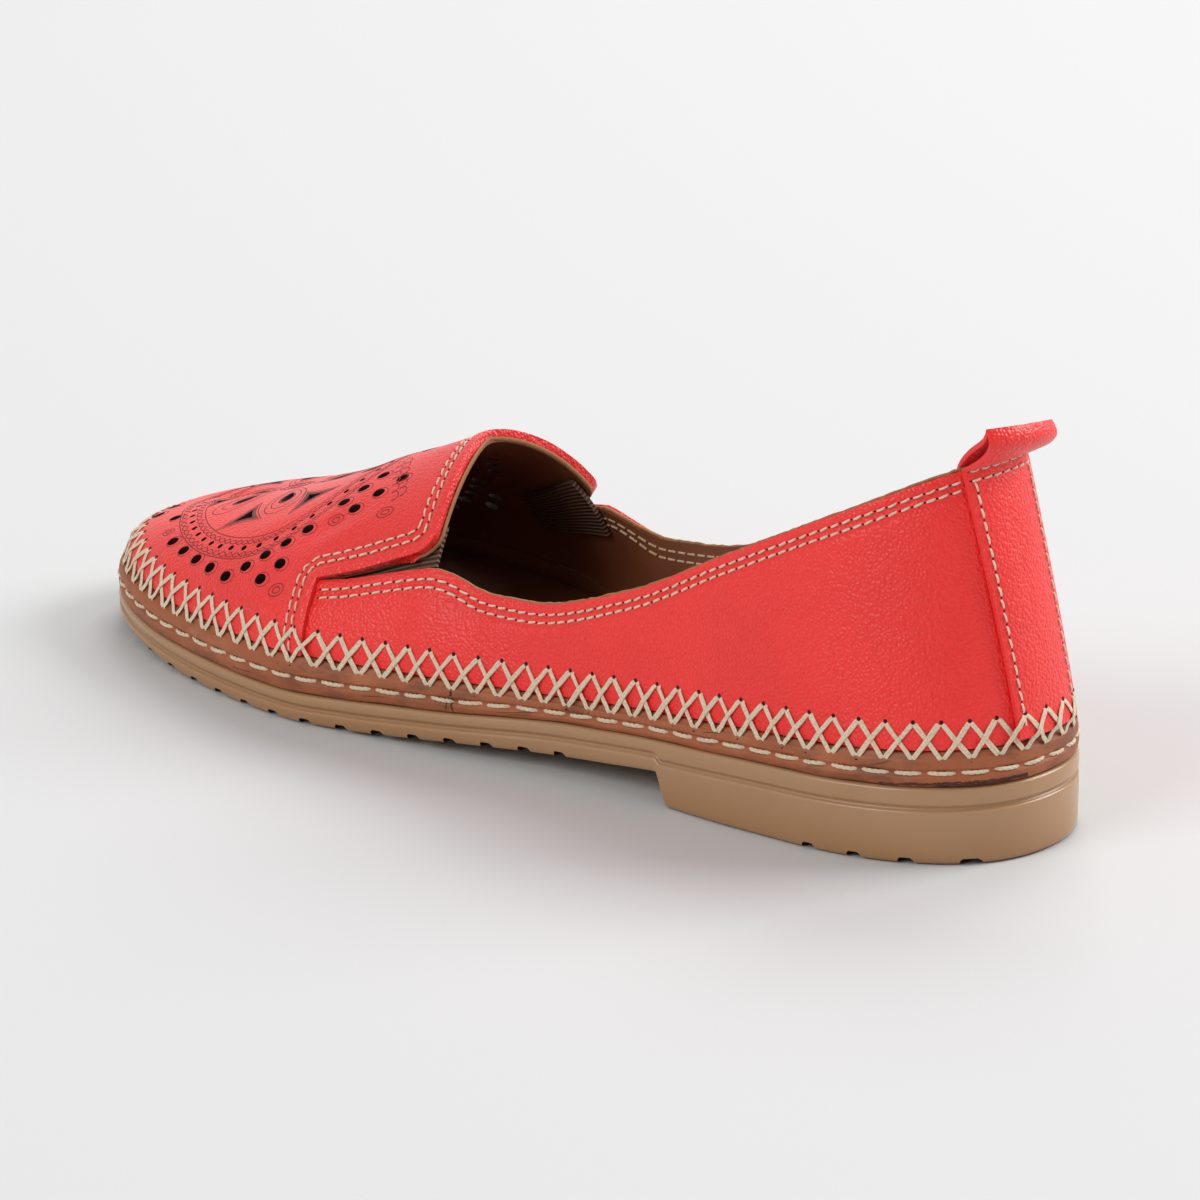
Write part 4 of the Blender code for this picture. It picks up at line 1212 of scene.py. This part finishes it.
bandShares = (1 - np.cos(np.linspace(0, math.pi, 240))) / 2
foot = rubberTop(bandShares) + last["gap"] * 0.3
top = bandTop(bandShares)
channel = foot + (top - foot) * soleSizes["channelShare"]
support = last["inset"] * readTable(levelTable, 3, bandShares) + last["wall"]
edge = support - last["wall"] - last["vampStep"] * ease(bandShares, seam - 0.004, seam + 0.004)
half = soleSizes["channelWidth"] / 2
deep = soleSizes["channelDepth"]
bandKnots = [
    (0.0030, foot), (0.0006, foot), (0.0002, foot + 0.0006), (0.0000, channel - half * 1.6),
    (0.0001, channel - half), (deep, channel - half * 0.4), (deep, channel + half * 0.4),
    (0.0001, channel + half), (0.0002, channel + half * 1.8),
    (edge * 0.30, channel + (top - channel) * 0.62), (edge * 0.75, top - 0.0010), (edge, top - 0.0002),
    (edge + 0.0010, top + 0.0000), (support, top), (support + 0.0002, foot + soleSizes["bandFloor"]),
]


def bandWear(points):
    # hand-cut leather: a slightly uneven edge and shallow dents
    x, y = points[:, :, 0], points[:, :, 1]
    wave = np.sin(x * 310 + y * 170) * np.sin(y * 260 - x * 95)
    wave[:, [0, -1]] = 0
    wave[[0, -1]] = 0
    return points + np.stack([wave * 0, wave * 0, wave * 0.00012], axis=2)


band = closedRings("band", bandShares, smoothProfile(bandKnots), bandWear)
bandOuter = surfaceOf(band)
band.data.materials.append(bandFinish)
band.data.materials.append(liningFinish)
for face in band.data.polygons:
    inward = Vector((min(max(face.center.x, 0.0), 0.16) - face.center.x, -face.center.y - 0.003, 0))
    if abs(face.normal.z) < 0.8 and face.normal.dot(inward.normalized()) > 0.15:
        face.material_index = 1
finishPiece(band, bandFinish, ["midsole"], smooth=60)

insoleShares = (1 - np.cos(np.linspace(0, math.pi, 90))) / 2
sockFoot = rubberTop(insoleShares) + last["gap"] * 2 + soleSizes["bandFloor"]
sockTop = sockFoot + soleSizes["insole"]
sockInset = last["inset"] * readTable(levelTable, 3, insoleShares) + last["wall"] + 0.0006
sockRings = [(sockInset, sockFoot), (sockInset, sockTop - 0.0008), (sockInset + 0.0003, sockTop - 0.0003),
             (sockInset + 0.0009, sockTop), (sockInset + 0.006, sockTop - 0.0003)]
sock = closedRings("sock", insoleShares, np.array([np.column_stack(ring) for ring in sockRings]))
finishPiece(sock, liningFinish, ["insole"])
print("band and sock made")

# The gores: elastic webs behind the slits

goreSizes = {"depth": 0.0023, "thickness": 0.001, "tuck": 0.005, "sideGirth": 0.036, "start": 0.004}
tuckRise = goreSizes["tuck"] / goreSizes["sideGirth"]
for side in (1, -1):
    shares = np.linspace(throat + goreSizes["start"], seam, 26)
    rows = np.linspace(0, 1, 16)
    low, high = sideRise(shares) - tuckRise, wingRise(shares) + tuckRise
    points = np.array([vampSkin(shares, side, low + (high - low) * row) for row in rows])
    normals = gridNormals(points)
    normals *= 1 if normals[8, 10, 1] * side > 0 else -1
    gore = layGrid("goreLateral" if side > 0 else "goreMedial", points - normals * goreSizes["depth"])
    faceOut(gore, lambda centre: Vector((0, side, 0.3)))
    thicken(gore, goreSizes["thickness"], 0)
    finishPiece(gore, elasticBrown, ["gore_lateral" if side > 0 else "gore_medial"])
print("gores made")

# The back strip and its pull loop

stripSizes = {
    "width": 0.019, "centre": -0.002, "thickness": 0.0012, "loopRise": 0.0075, "loopLean": 0.0085,
    "twist": 0.11, "tuck": 0.012,
}


def heelPlace(y, rise):
    # a point of the heel at a distance across, and the direction out of it
    side = 1 if y >= 0 else -1
    shares = np.linspace(0.0, 0.12, 200)
    line = quarterSkin(shares, side, np.full(200, rise))
    share = max(float(np.interp(abs(y), side * (line[:, 1] - line[0, 1]), shares)), 1e-5)
    near = np.array([share, share, share, share * 1.02, share * 0.98])
    low, high = max(rise - 0.002, 0.0), min(rise + 0.002, 1.0)
    found = quarterSkin(near, side, np.array([rise, high, low, rise, rise]))
    across = Vector((0, 1, 0)) if abs(y) < 1e-4 else Vector(found[3] - found[4]) * side
    normal = across.cross(Vector(found[1] - found[2])).normalized()
    return Vector(found[0]), normal if normal.x < 0 else -normal


def stripPath(y):
    # the middle of the strip's thickness, from its foot over the loop to its end inside
    size = stripSizes
    gap = last["gap"]
    path = []
    for rise in np.linspace(0.012, 1.0, 26):
        place, normal = heelPlace(y + size["centre"] * (1 - rise), rise)
        path.append(place + normal * (gap + size["thickness"] / 2))
    top, normal = heelPlace(y, 1.0)
    twist = size["twist"] * y
    peak = top + Vector((-size["loopLean"] + 0.75 * twist, 0, size["loopRise"] + twist))
    start = path[-1]
    end = top - normal * (last["wall"] + gap + size["thickness"] / 2)
    bow = Vector((-0.3 * size["loopLean"], 0, 0))
    for t in (0.25, 0.5, 0.75, 0.93):
        path.append(start + (peak - start) * t + bow * math.sin(math.pi * t))
    path.append(peak + Vector((0.0009, 0, 0.0012)))
    for t in (0.90, 0.68, 0.45, 0.22):
        path.append(end + (peak - end) * t - bow * 0.5 * math.sin(math.pi * t))
    for drop in np.linspace(0.0, 1.0, 6):
        rise = 1.0 - drop * size["tuck"] / (last["collarHeight"] - last["heelHeight"] - last["bandHeight"])
        place, out = heelPlace(y, rise)
        path.append(place - out * (last["wall"] + gap + size["thickness"] / 2))
    return path


stripRows = np.array([stripPath(y) for y in np.linspace(-1, 1, 25) * stripSizes["width"] / 2])
stripRows = stripRows.transpose(1, 0, 2)
strip = layGrid("backStrip", stripRows)
faceOut(strip, lambda centre: Vector((-1 if centre[2] < 0.079 and centre[0] < -0.021 else 0, 0, 0)))
thicken(strip, stripSizes["thickness"], 0.0003, offset=0)
applyModifier(strip, "SUBSURF", levels=1, render_levels=1)
finishPiece(strip, redFinish, ["back_strip"])
print("strip made")

# The stitches: rows of thread along the edges, laces over the band

threadSizes = {
    "rowPitch": 0.0028, "rowLong": 0.0022, "rowWide": 0.00052, "rowThick": 0.00042, "rowHole": 0.00045,
    "quarterRows": (0.0023, 0.0042), "vampRows": (0.0036, 0.0054),
    "insideLong": 0.0021, "insideWide": 0.0005,
    "crossPitch": 0.0059, "crossHigh": 0.0060, "crossLow": 0.0016, "crossWide": 0.00108, "crossThick": 0.0004,
    "channelPitch": 0.0070, "channelLong": 0.0062, "channelWide": 0.00100,
}


def wholeSurface(pieces):
    # one search tree over several finished pieces
    corners, faces = [], []
    for piece in pieces:
        base = len(corners)
        corners += [vertex.co.copy() for vertex in piece.data.vertices]
        faces += [tuple(base + i for i in face.vertices) for face in piece.data.polygons]
    return BVHTree.FromPolygons(corners, faces)


def addStitch(pile, path, normals, wide, thick, sink=0.0003):
    # one stitch: it rises from its hole, lies flat and goes down again
    count = len(path)
    t = np.linspace(0, 1, count)
    rise = np.minimum(np.sin(math.pi * t) ** 0.35, 1.0) * (thick * 0.5 + sink) - sink
    full = 0.72 + 0.28 * np.sin(math.pi * t) ** 0.5
    addTube(pile, path + normals * rise[:, None], normals, wide * full, thick, 6)


def addSpot(pile, place, normal, ahead, long, short, lift=0.00005):
    # a needle hole: a small dimple, coloured near-black as painted shade
    across = np.cross(normal, ahead)
    across /= max(np.linalg.norm(across), 1e-9)
    ahead = np.cross(across, normal)
    turn = np.linspace(0, 2 * math.pi, 8, endpoint=False)
    ring = place + normal * lift * 0.4 + np.outer(np.cos(turn) * long / 2, ahead)
    ring = ring + np.outer(np.sin(turn) * short / 2, across)
    points = np.vstack([ring, place + normal * lift * 1.6, place - normal * 0.0002])
    faces = [(i, (i + 1) % 8, 8) for i in range(8)] + [((i + 1) % 8, i, 9) for i in range(8)]
    pile.add(points, faces)


def part(path, start, end, count):
    # a number of places between two distances along a line of points
    return placesAt(path, lengthsAlong(path), np.linspace(start, end, count))


def sewRow(pile, holes, tree, path, skew=0.12):
    # a running row on a surface; each stitch a little unlike the next
    pitch, long, wide = (threadSizes[key] for key in ("rowPitch", "rowLong", "rowWide"))
    path = np.asarray(path, float)
    length = lengthsAlong(path)[-1]
    count = max(1, int(round(length / pitch)))
    step = length / count
    for i in range(count):
        middle = (i + 0.5) * step + dice.uniform(-0.04, 0.04) * step
        half = long / 2 * step / pitch * dice.uniform(0.93, 1.05)
        places, normals = snap(tree, part(path, middle - half, middle + half, 7))
        across = np.cross(normals[3], places[-1] - places[0])
        lean = np.linspace(-0.5, 0.5, 7)[:, None] * across * skew * dice.uniform(0.5, 1.3)
        addStitch(pile, places + lean, normals, wide * dice.uniform(0.92, 1.08), threadSizes["rowThick"])
        places, normals = snap(tree, part(path, middle + half - 0.0001, middle + half + 0.0006, 3))
        addSpot(holes, places[1], normals[1], places[2] - places[0], 0.00065, threadSizes["rowHole"])


def stepAlong(lines, distance):
    # the place a distance in from the start of each line of points
    return np.array([placesAt(points, lengthsAlong(points), [distance])[0] for points in lines])


def quarterRow(grid, distance, side, foremost):
    # a line the distance below the topline, from the back strip forward
    line = stepAlong(grid[::-1].transpose(1, 0, 2), distance)
    atStrip = (line[:, 0] < -0.01) & (abs(line[:, 1] + 0.0015) < stripSizes["width"] / 2)
    line = line[(line[:, 1] * side > 0) & ~atStrip & (line[:, 0] < foremost)]
    return line[np.argsort(line[:, 0])]


rowPile, holePile, insidePile = MeshPile(), MeshPile(), MeshPile()
seamX = last["seam"] - last["heelRest"]
outerGrid = quarterSurface(0.0)
for distance in threadSizes["quarterRows"]:
    for side in (1, -1):
        sewRow(rowPile, holePile, quarterOuter, quarterRow(outerGrid, distance, side, seamX + 0.0005))

# inside, the same two rows come through the lining
innerGrid = quarterSurface(-upperSizes["quarterWall"] - upperSizes["liningWall"] - upperSizes["glue"])
for distance in threadSizes["quarterRows"]:
    for side in (1, -1):
        line = quarterRow(innerGrid, distance, side, seamX - 0.004)
        length = lengthsAlong(line)[-1]
        count = int(length / threadSizes["rowPitch"])
        half = threadSizes["insideLong"] / 2
        inward = np.tile([0.0, -side, 0.25], (5, 1))
        for i in range(count):
            middle = (i + 0.5) * length / count
            spots = part(line, middle - half, middle + half, 5) + inward * 0.0001
            addTube(insidePile, spots, inward, threadSizes["insideWide"], 0.0004, 5)


def firstCrossing(points, gaps, nearest, distance):
    # the place where a line of points first gets this far from the edge, and the edge place it is nearest to
    for i in range(1, len(points)):
        if gaps[i - 1] < distance <= gaps[i]:
            t = (distance - gaps[i - 1]) / (gaps[i] - gaps[i - 1])
            return points[i - 1] + (points[i] - points[i - 1]) * t, nearest[i]
    return None, None


def vampRow(side, distance):
    # a sewing line inside the free edge: beside the lip, above the slit, round its end and down the seam
    half = topSkin.shape[1] // 2
    block = topSkin[:, :half + 1] if side > 0 else topSkin[:, :half - 1:-1]
    low = lowSkin if side > 0 else lowSkin[:, ::-1]
    lipEdge, slitEdge = resample(block[::-1, 0], 0.0005), resample(block[0, :seamColumn + 1], 0.0005)
    edge = np.concatenate([lipEdge, slitEdge])
    near = block[:, :seamColumn + 12]
    apart = np.linalg.norm(near[:, :, None, :] - edge[None, None], axis=3)
    gaps, nearest = apart.min(axis=2), apart.argmin(axis=2)
    line = []
    for r in range(len(near) - 1, -1, -1):
        spot, at = firstCrossing(near[r], gaps[r], nearest[r], distance)
        if spot is not None and at < len(lipEdge):
            line.append(spot)
    for c in range(seamColumn + 1):
        spot, at = firstCrossing(near[:, c], gaps[:, c], nearest[:, c], distance)
        if spot is not None and at >= len(lipEdge):
            line.append(spot)
    downSeam = stepAlong(low[::-1], distance)
    corner = block[0, seamColumn]
    first, second = line[-1] - corner, downSeam[0] - corner
    turn = np.linspace(0.1, math.pi / 2 - 0.1, 9)[:, None]
    arc = corner + first * np.cos(turn) + second * np.sin(turn)
    line = resample(np.concatenate([line, arc, downSeam[1:]]), 0.0006)
    for _ in range(6):
        line[1:-1] = (line[:-2] + line[1:-1] * 2 + line[2:]) / 4
    return line


for distance in threadSizes["vampRows"]:
    line = np.concatenate([vampRow(-1, distance)[:0:-1], vampRow(1, distance)])
    sewRow(rowPile, holePile, vampOuter, line)

# the back strip: one row near each edge and two across the top
stripTree = surfaceOf(strip)
stripTop = 25  # the last row of the strip's grid before the loop
stripLines = [stripRows[1:stripTop, column] for column in (2, 22)]
stripLines += [stripRows[row, 1:24] for row in (stripTop - 1, stripTop)]
for line in stripLines:
    sewRow(rowPile, holePile, stripTree, line + np.array([-0.0006, 0, 0]))
rows = rowPile.build("edgeStitches")
finishPiece(rows, threadPale)
insideRows = insidePile.build("insideStitches")
finishPiece(insideRows, threadWax)
print("rows sewn", len(rows.data.polygons))

# The cross stitches that lace the upper to the band
outerTree = wholeSurface([quarters, vamp, strip, band])


def roundShoe(step, inset):
    # even places round the shoe: share and side of each
    turn = np.linspace(0, 2 * math.pi, 4001)
    share = (1 - np.cos(turn)) / 2
    path = np.concatenate([edgeRing(share[:2001], 1, inset), edgeRing(share[2001:], -1, inset)])
    length = lengthsAlong(path)
    count = int(round(length[-1] / step))
    places = np.interp(np.arange(count) * length[-1] / count, length, turn)
    return [((1 - math.cos(t)) / 2, 1 if t <= math.pi else -1) for t in places]


def crossEnds(share, side):
    # where a lace goes through: low in the band and higher up in the red leather
    shares = np.array([share])
    low = np.append(edgeRing(shares, side, 0.0)[0], float(bandTop(shares)[0]) - threadSizes["crossLow"])
    out = edgeOut(shares, side)
    skin = quarterSkin if share < seam else vampSkin
    line = skin(np.full(60, share), side, np.linspace(0, 0.6, 60))
    reach = threadSizes["crossHigh"] + 0.0012 * float(ease(share, 0.85, 1.0))
    high = placesAt(line, lengthsAlong(line), [reach])[0]
    hit = outerTree.ray_cast(Vector(low + out * 0.004), Vector(-out), 0.012)
    lowPlace = np.array(hit[0]) if hit[0] else low
    lowNormal = np.array(hit[1]) if hit[0] else out
    near = outerTree.find_nearest(Vector(high + out * 0.0015))
    return lowPlace, lowNormal, np.array(near[0]), np.array(near[1]), out


def tautPath(start, end, out, lift, count=11):
    # a thread pulled straight between two holes, over what lies between them
    t = np.linspace(0, 1, count)
    chord = start + (end - start) * t[:, None]
    chordDirection = (end - start) / np.linalg.norm(end - start)
    out = out - chordDirection * out.dot(chordDirection)
    out /= np.linalg.norm(out)
    height = np.zeros(count)
    for i, place in enumerate(chord):
        hit = outerTree.ray_cast(Vector(place + out * 0.006), Vector(-out), 0.012)
        height[i] = 0.006 - hit[3] if hit[0] else 0.0
    height[0] = height[-1] = 0.0
    taut = height.copy()
    for i in range(1, count - 1):
        for a in range(i):
            for b in range(i + 1, count):
                share = (t[i] - t[a]) / (t[b] - t[a])
                taut[i] = max(taut[i], height[a] + (height[b] - height[a]) * share)
    taut = height + (taut - height) * 0.75
    return chord + out * (taut + lift)[:, None], np.tile(out, (count, 1))


crossPile = MeshPile()
stations = roundShoe(threadSizes["crossPitch"], 0.0012)
ends = [crossEnds(share, side) for share, side in stations]
t = np.linspace(0, 1, 11)
for k, here in enumerate(ends):
    after = ends[(k + 1) % len(ends)]
    ahead = after[0] - here[0]
    ahead /= np.linalg.norm(ahead)
    out = (here[1] + here[3] + after[1] + after[3]) / 4 + here[4] * 0.4
    out /= np.linalg.norm(out)
    shake = [dice.uniform(-0.00022, 0.00022) for _ in range(4)]
    for over, (start, end) in enumerate(((here[0], after[2]), (after[0], here[2]))):
        lean = 1 if over == 0 else -1
        start = start + ahead * (0.00012 * lean + shake[over])
        end = end - ahead * (0.00012 * lean + shake[over + 2])
        lift = threadSizes["crossThick"] * (0.55 + over * 0.9 * np.exp(-((t - 0.5) / 0.16) ** 2))
        lift = lift - 0.0006 * (np.exp(-(t / 0.045) ** 2) + np.exp(-((1 - t) / 0.045) ** 2))
        path, normals = tautPath(start, end, out, lift)
        wide = threadSizes["crossWide"] * dice.uniform(0.9, 1.1)
        across = np.cross(path[-1] - path[0], normals[5])
        across /= np.linalg.norm(across)
        for strand in (-1, 1):  # two flat strands side by side
            waver = wide * 0.27 * (0.75 + 0.25 * np.sin(t * 5 + dice.uniform(0, 6)))
            addTube(crossPile, path + across * (strand * waver)[:, None], normals, wide * 0.58,
                    threadSizes["crossThick"], 6)
    addSpot(holePile, here[2] + np.array([0, 0, 0.0001]), here[3], ahead, 0.0009, 0.0010)
    addSpot(holePile, here[0] - np.array([0, 0, 0.0003]), here[1], ahead, 0.0010, 0.0008)
laces = crossPile.build("crossStitches")
finishPiece(laces, threadPale)
print("cross stitches laid", len(laces.data.polygons))

# Where the band's ends meet, a crack and scratches beside it, and the rough lower edge at the heel
wear = {
    "lines": (  # share and height up the band at each end, width in mm
        ((0.512, 0.02), (0.514, 0.98), 0.80), ((0.519, 0.10), (0.516, 0.62), 0.40),
        ((0.470, 0.16), (0.430, 0.30), 0.16), ((0.460, 0.10), (0.436, 0.20), 0.14),
        ((0.255, 0.72), (0.235, 0.80), 0.18), ((0.600, 0.20), (0.575, 0.26), 0.14),
        ((0.745, 0.12), (0.720, 0.20), 0.15), ((0.090, 0.62), (0.075, 0.80), 0.16)),
    "tornFrom": 0.002, "tornTo": 0.085, "colour": (0.09, 0.024, 0.012),
}


def bandPlace(share, side, height, out):
    # where a level line from outside meets the band
    base = np.append(edgeRing(np.array([share]), side, 0.0)[0], height)
    hit = bandOuter.ray_cast(Vector(base + out * 0.005), Vector(-out), 0.012)
    return np.array(hit[0]) if hit[0] else base


def onBand(share, up, lift):
    shares = np.array([share])
    out = edgeOut(shares, 1)
    low, high = float(rubberTop(shares)[0]), float(bandTop(shares)[0])
    return bandPlace(share, 1, low + (high - low) * (0.04 + up * 0.9), out) + out * lift, out


wearPile = MeshPile()
for start, end, wide in wear["lines"]:
    spots = []
    for t in np.linspace(0, 1, 9):
        share = start[0] + (end[0] - start[0]) * t + dice.uniform(-0.0006, 0.0006)
        spots.append(onBand(share, start[1] + (end[1] - start[1]) * t, 0.00002))
    addStrand(wearPile, spots, wide / 1000 * np.sin(math.pi * np.linspace(0.12, 0.88, 9)), 0.0001)
for layer in range(3):
    spots = [onBand(share, 0.03 + 0.035 * layer + dice.uniform(0, 0.05), 0.00003)
             for share in np.linspace(wear["tornFrom"], wear["tornTo"] - 0.02 * layer, 34)]
    addStrand(wearPile, spots, np.array([dice.uniform(0.0001, 0.0008) for _ in spots]), 0.0003)
marks = wearPile.build("bandMarks")
finishPiece(marks, plainFinish("rubbed_leather", wear["colour"], 0.8, 500))

# The twisted cord sunk in the band's channel
cordPile = MeshPile()
cordStations = roundShoe(threadSizes["channelPitch"] / 8, 0.0)
channelPath, channelOut = [], []
for share, side in cordStations:
    shares = np.array([share])
    low, high = rubberTop(shares)[0], bandTop(shares)[0]
    height = float(low + (high - low) * soleSizes["channelShare"])
    channelOut.append(edgeOut(shares, side))
    channelPath.append(bandPlace(share, side, height, channelOut[-1]))
channelPath, channelOut = np.array(channelPath), np.array(channelOut)
cordPlaces = np.arange(len(channelPath))
cordCount = int(round(lengthsAlong(channelPath)[-1] / threadSizes["channelPitch"]))
step = len(channelPath) / cordCount
for k in range(cordCount):
    middle = (k + 0.5) * step
    half = step * threadSizes["channelLong"] / threadSizes["channelPitch"] / 2 * dice.uniform(0.92, 1.04)
    at = np.linspace(middle - half, middle + half, 15)
    path, normals = placesAt(channelPath, cordPlaces, at), placesAt(channelOut, cordPlaces, at)
    t = np.linspace(0, 1, 15)
    wide = threadSizes["channelWide"]
    path = path + normals * (wide * 0.42 - 0.0012 * (1 - np.sin(math.pi * t) ** 0.4))[:, None]
    path[:, 2] += dice.uniform(-0.0002, 0.0002) * np.linspace(-1, 1, 15)
    tangent = np.gradient(path, axis=0)
    tangent /= np.linalg.norm(tangent, axis=1)[:, None]
    across = np.cross(tangent, normals)
    start = dice.uniform(0, 6)
    for strand in range(3):  # three strands laid round each other
        angle = start + strand * 2 * math.pi / 3 + t * 2 * math.pi * 1.6
        offset = normals * np.cos(angle)[:, None] + across * np.sin(angle)[:, None]
        addTube(cordPile, path + offset * wide * 0.2, normals, wide * 0.52, wide * 0.52, 5)
    for end in (0, -1):
        addSpot(holePile, path[end] + normals[end] * 0.0006, normals[end], tangent[end], 0.0011, 0.0010)
cord = cordPile.build("channelCord")
finishPiece(cord, threadPale)
# the needle holes of every row, lace and cord are coloured near-black as painted shade
holes = holePile.build("needleHoles")
finishPiece(holes, holeShadeFinish)
print("cord laid", len(cord.data.polygons), len(holes.data.polygons))

# Floor, lights and camera

stage = {
    "floor": (0.645, 0.645, 0.645), "world": 0.46, "azimuth": 222.609, "elevation": 18.738, "roll": -0.711,
    "eye": (-1.30680, 1.51619, 0.72639), "lens": 307.61, "aim": (0.09, 0, 0.03),
    "boxes": (  # to the right of the view, away from the camera, height, size, power
        ("keyBox", 2.2, 0.6, 1.6, (1.6, 1.4), 58), ("backBox", 0.5, 2.0, 2.1, (1.8, 1.4), 36),
        ("fillBox", -2.0, -1.6, 1.8, (1.8, 1.4), 36)),
}
bpy.ops.object.select_all(action="DESELECT")
bpy.ops.mesh.primitive_plane_add(size=12, location=(0, 0, -0.0002))
floor = bpy.context.active_object
floor.name = "floor"
floorFinish = Shader("pale_floor", stage["floor"], 0.75)
floorFinish.main.inputs["Specular IOR Level"].default_value = 0.1
floor.data.materials.append(floorFinish.made)

world = bpy.data.worlds.new("studio")
bpy.context.scene.world = world
world.use_nodes = True
world.node_tree.nodes["Background"].inputs["Color"].default_value = (1, 1, 1, 1)
world.node_tree.nodes["Background"].inputs["Strength"].default_value = stage["world"]
bpy.context.scene.view_settings.view_transform = "Standard"


def addSoftbox(name, place, size, power):
    light = bpy.data.lights.new(name, "AREA")
    light.shape = "RECTANGLE"
    light.size, light.size_y = size
    light.energy = power
    box = bpy.data.objects.new(name, light)
    box.location = place
    box.rotation_euler = (Vector(stage["aim"]) - place).to_track_quat("-Z", "Y").to_euler()
    bpy.context.scene.collection.objects.link(box)


azimuth, elevation, roll = (math.radians(stage[key]) for key in ("azimuth", "elevation", "roll"))
level = math.cos(elevation)
back = Vector((math.sin(azimuth) * level, -math.cos(azimuth) * level, math.sin(elevation)))
right = Vector((0, 0, 1)).cross(back).normalized()
up = back.cross(right)
rightNow = right * math.cos(roll) + up * math.sin(roll)
upNow = up * math.cos(roll) - right * math.sin(roll)
away = Vector((-back.x, -back.y, 0)).normalized()
for name, across, behind, height, size, power in stage["boxes"]:
    addSoftbox(name, right * across + away * behind + Vector((0, 0, height)), size, power)

camera = bpy.data.objects.new("camera", bpy.data.cameras.new("camera"))
bpy.context.scene.collection.objects.link(camera)
camera.data.sensor_width = 36
camera.data.lens = stage["lens"]
camera.data.clip_end = 50
camera.matrix_world = Matrix((
    (rightNow.x, upNow.x, back.x, stage["eye"][0]),
    (rightNow.y, upNow.y, back.y, stage["eye"][1]),
    (rightNow.z, upNow.z, back.z, stage["eye"][2]),
    (0, 0, 0, 1),
))
bpy.context.scene.camera = camera
print("stage set")
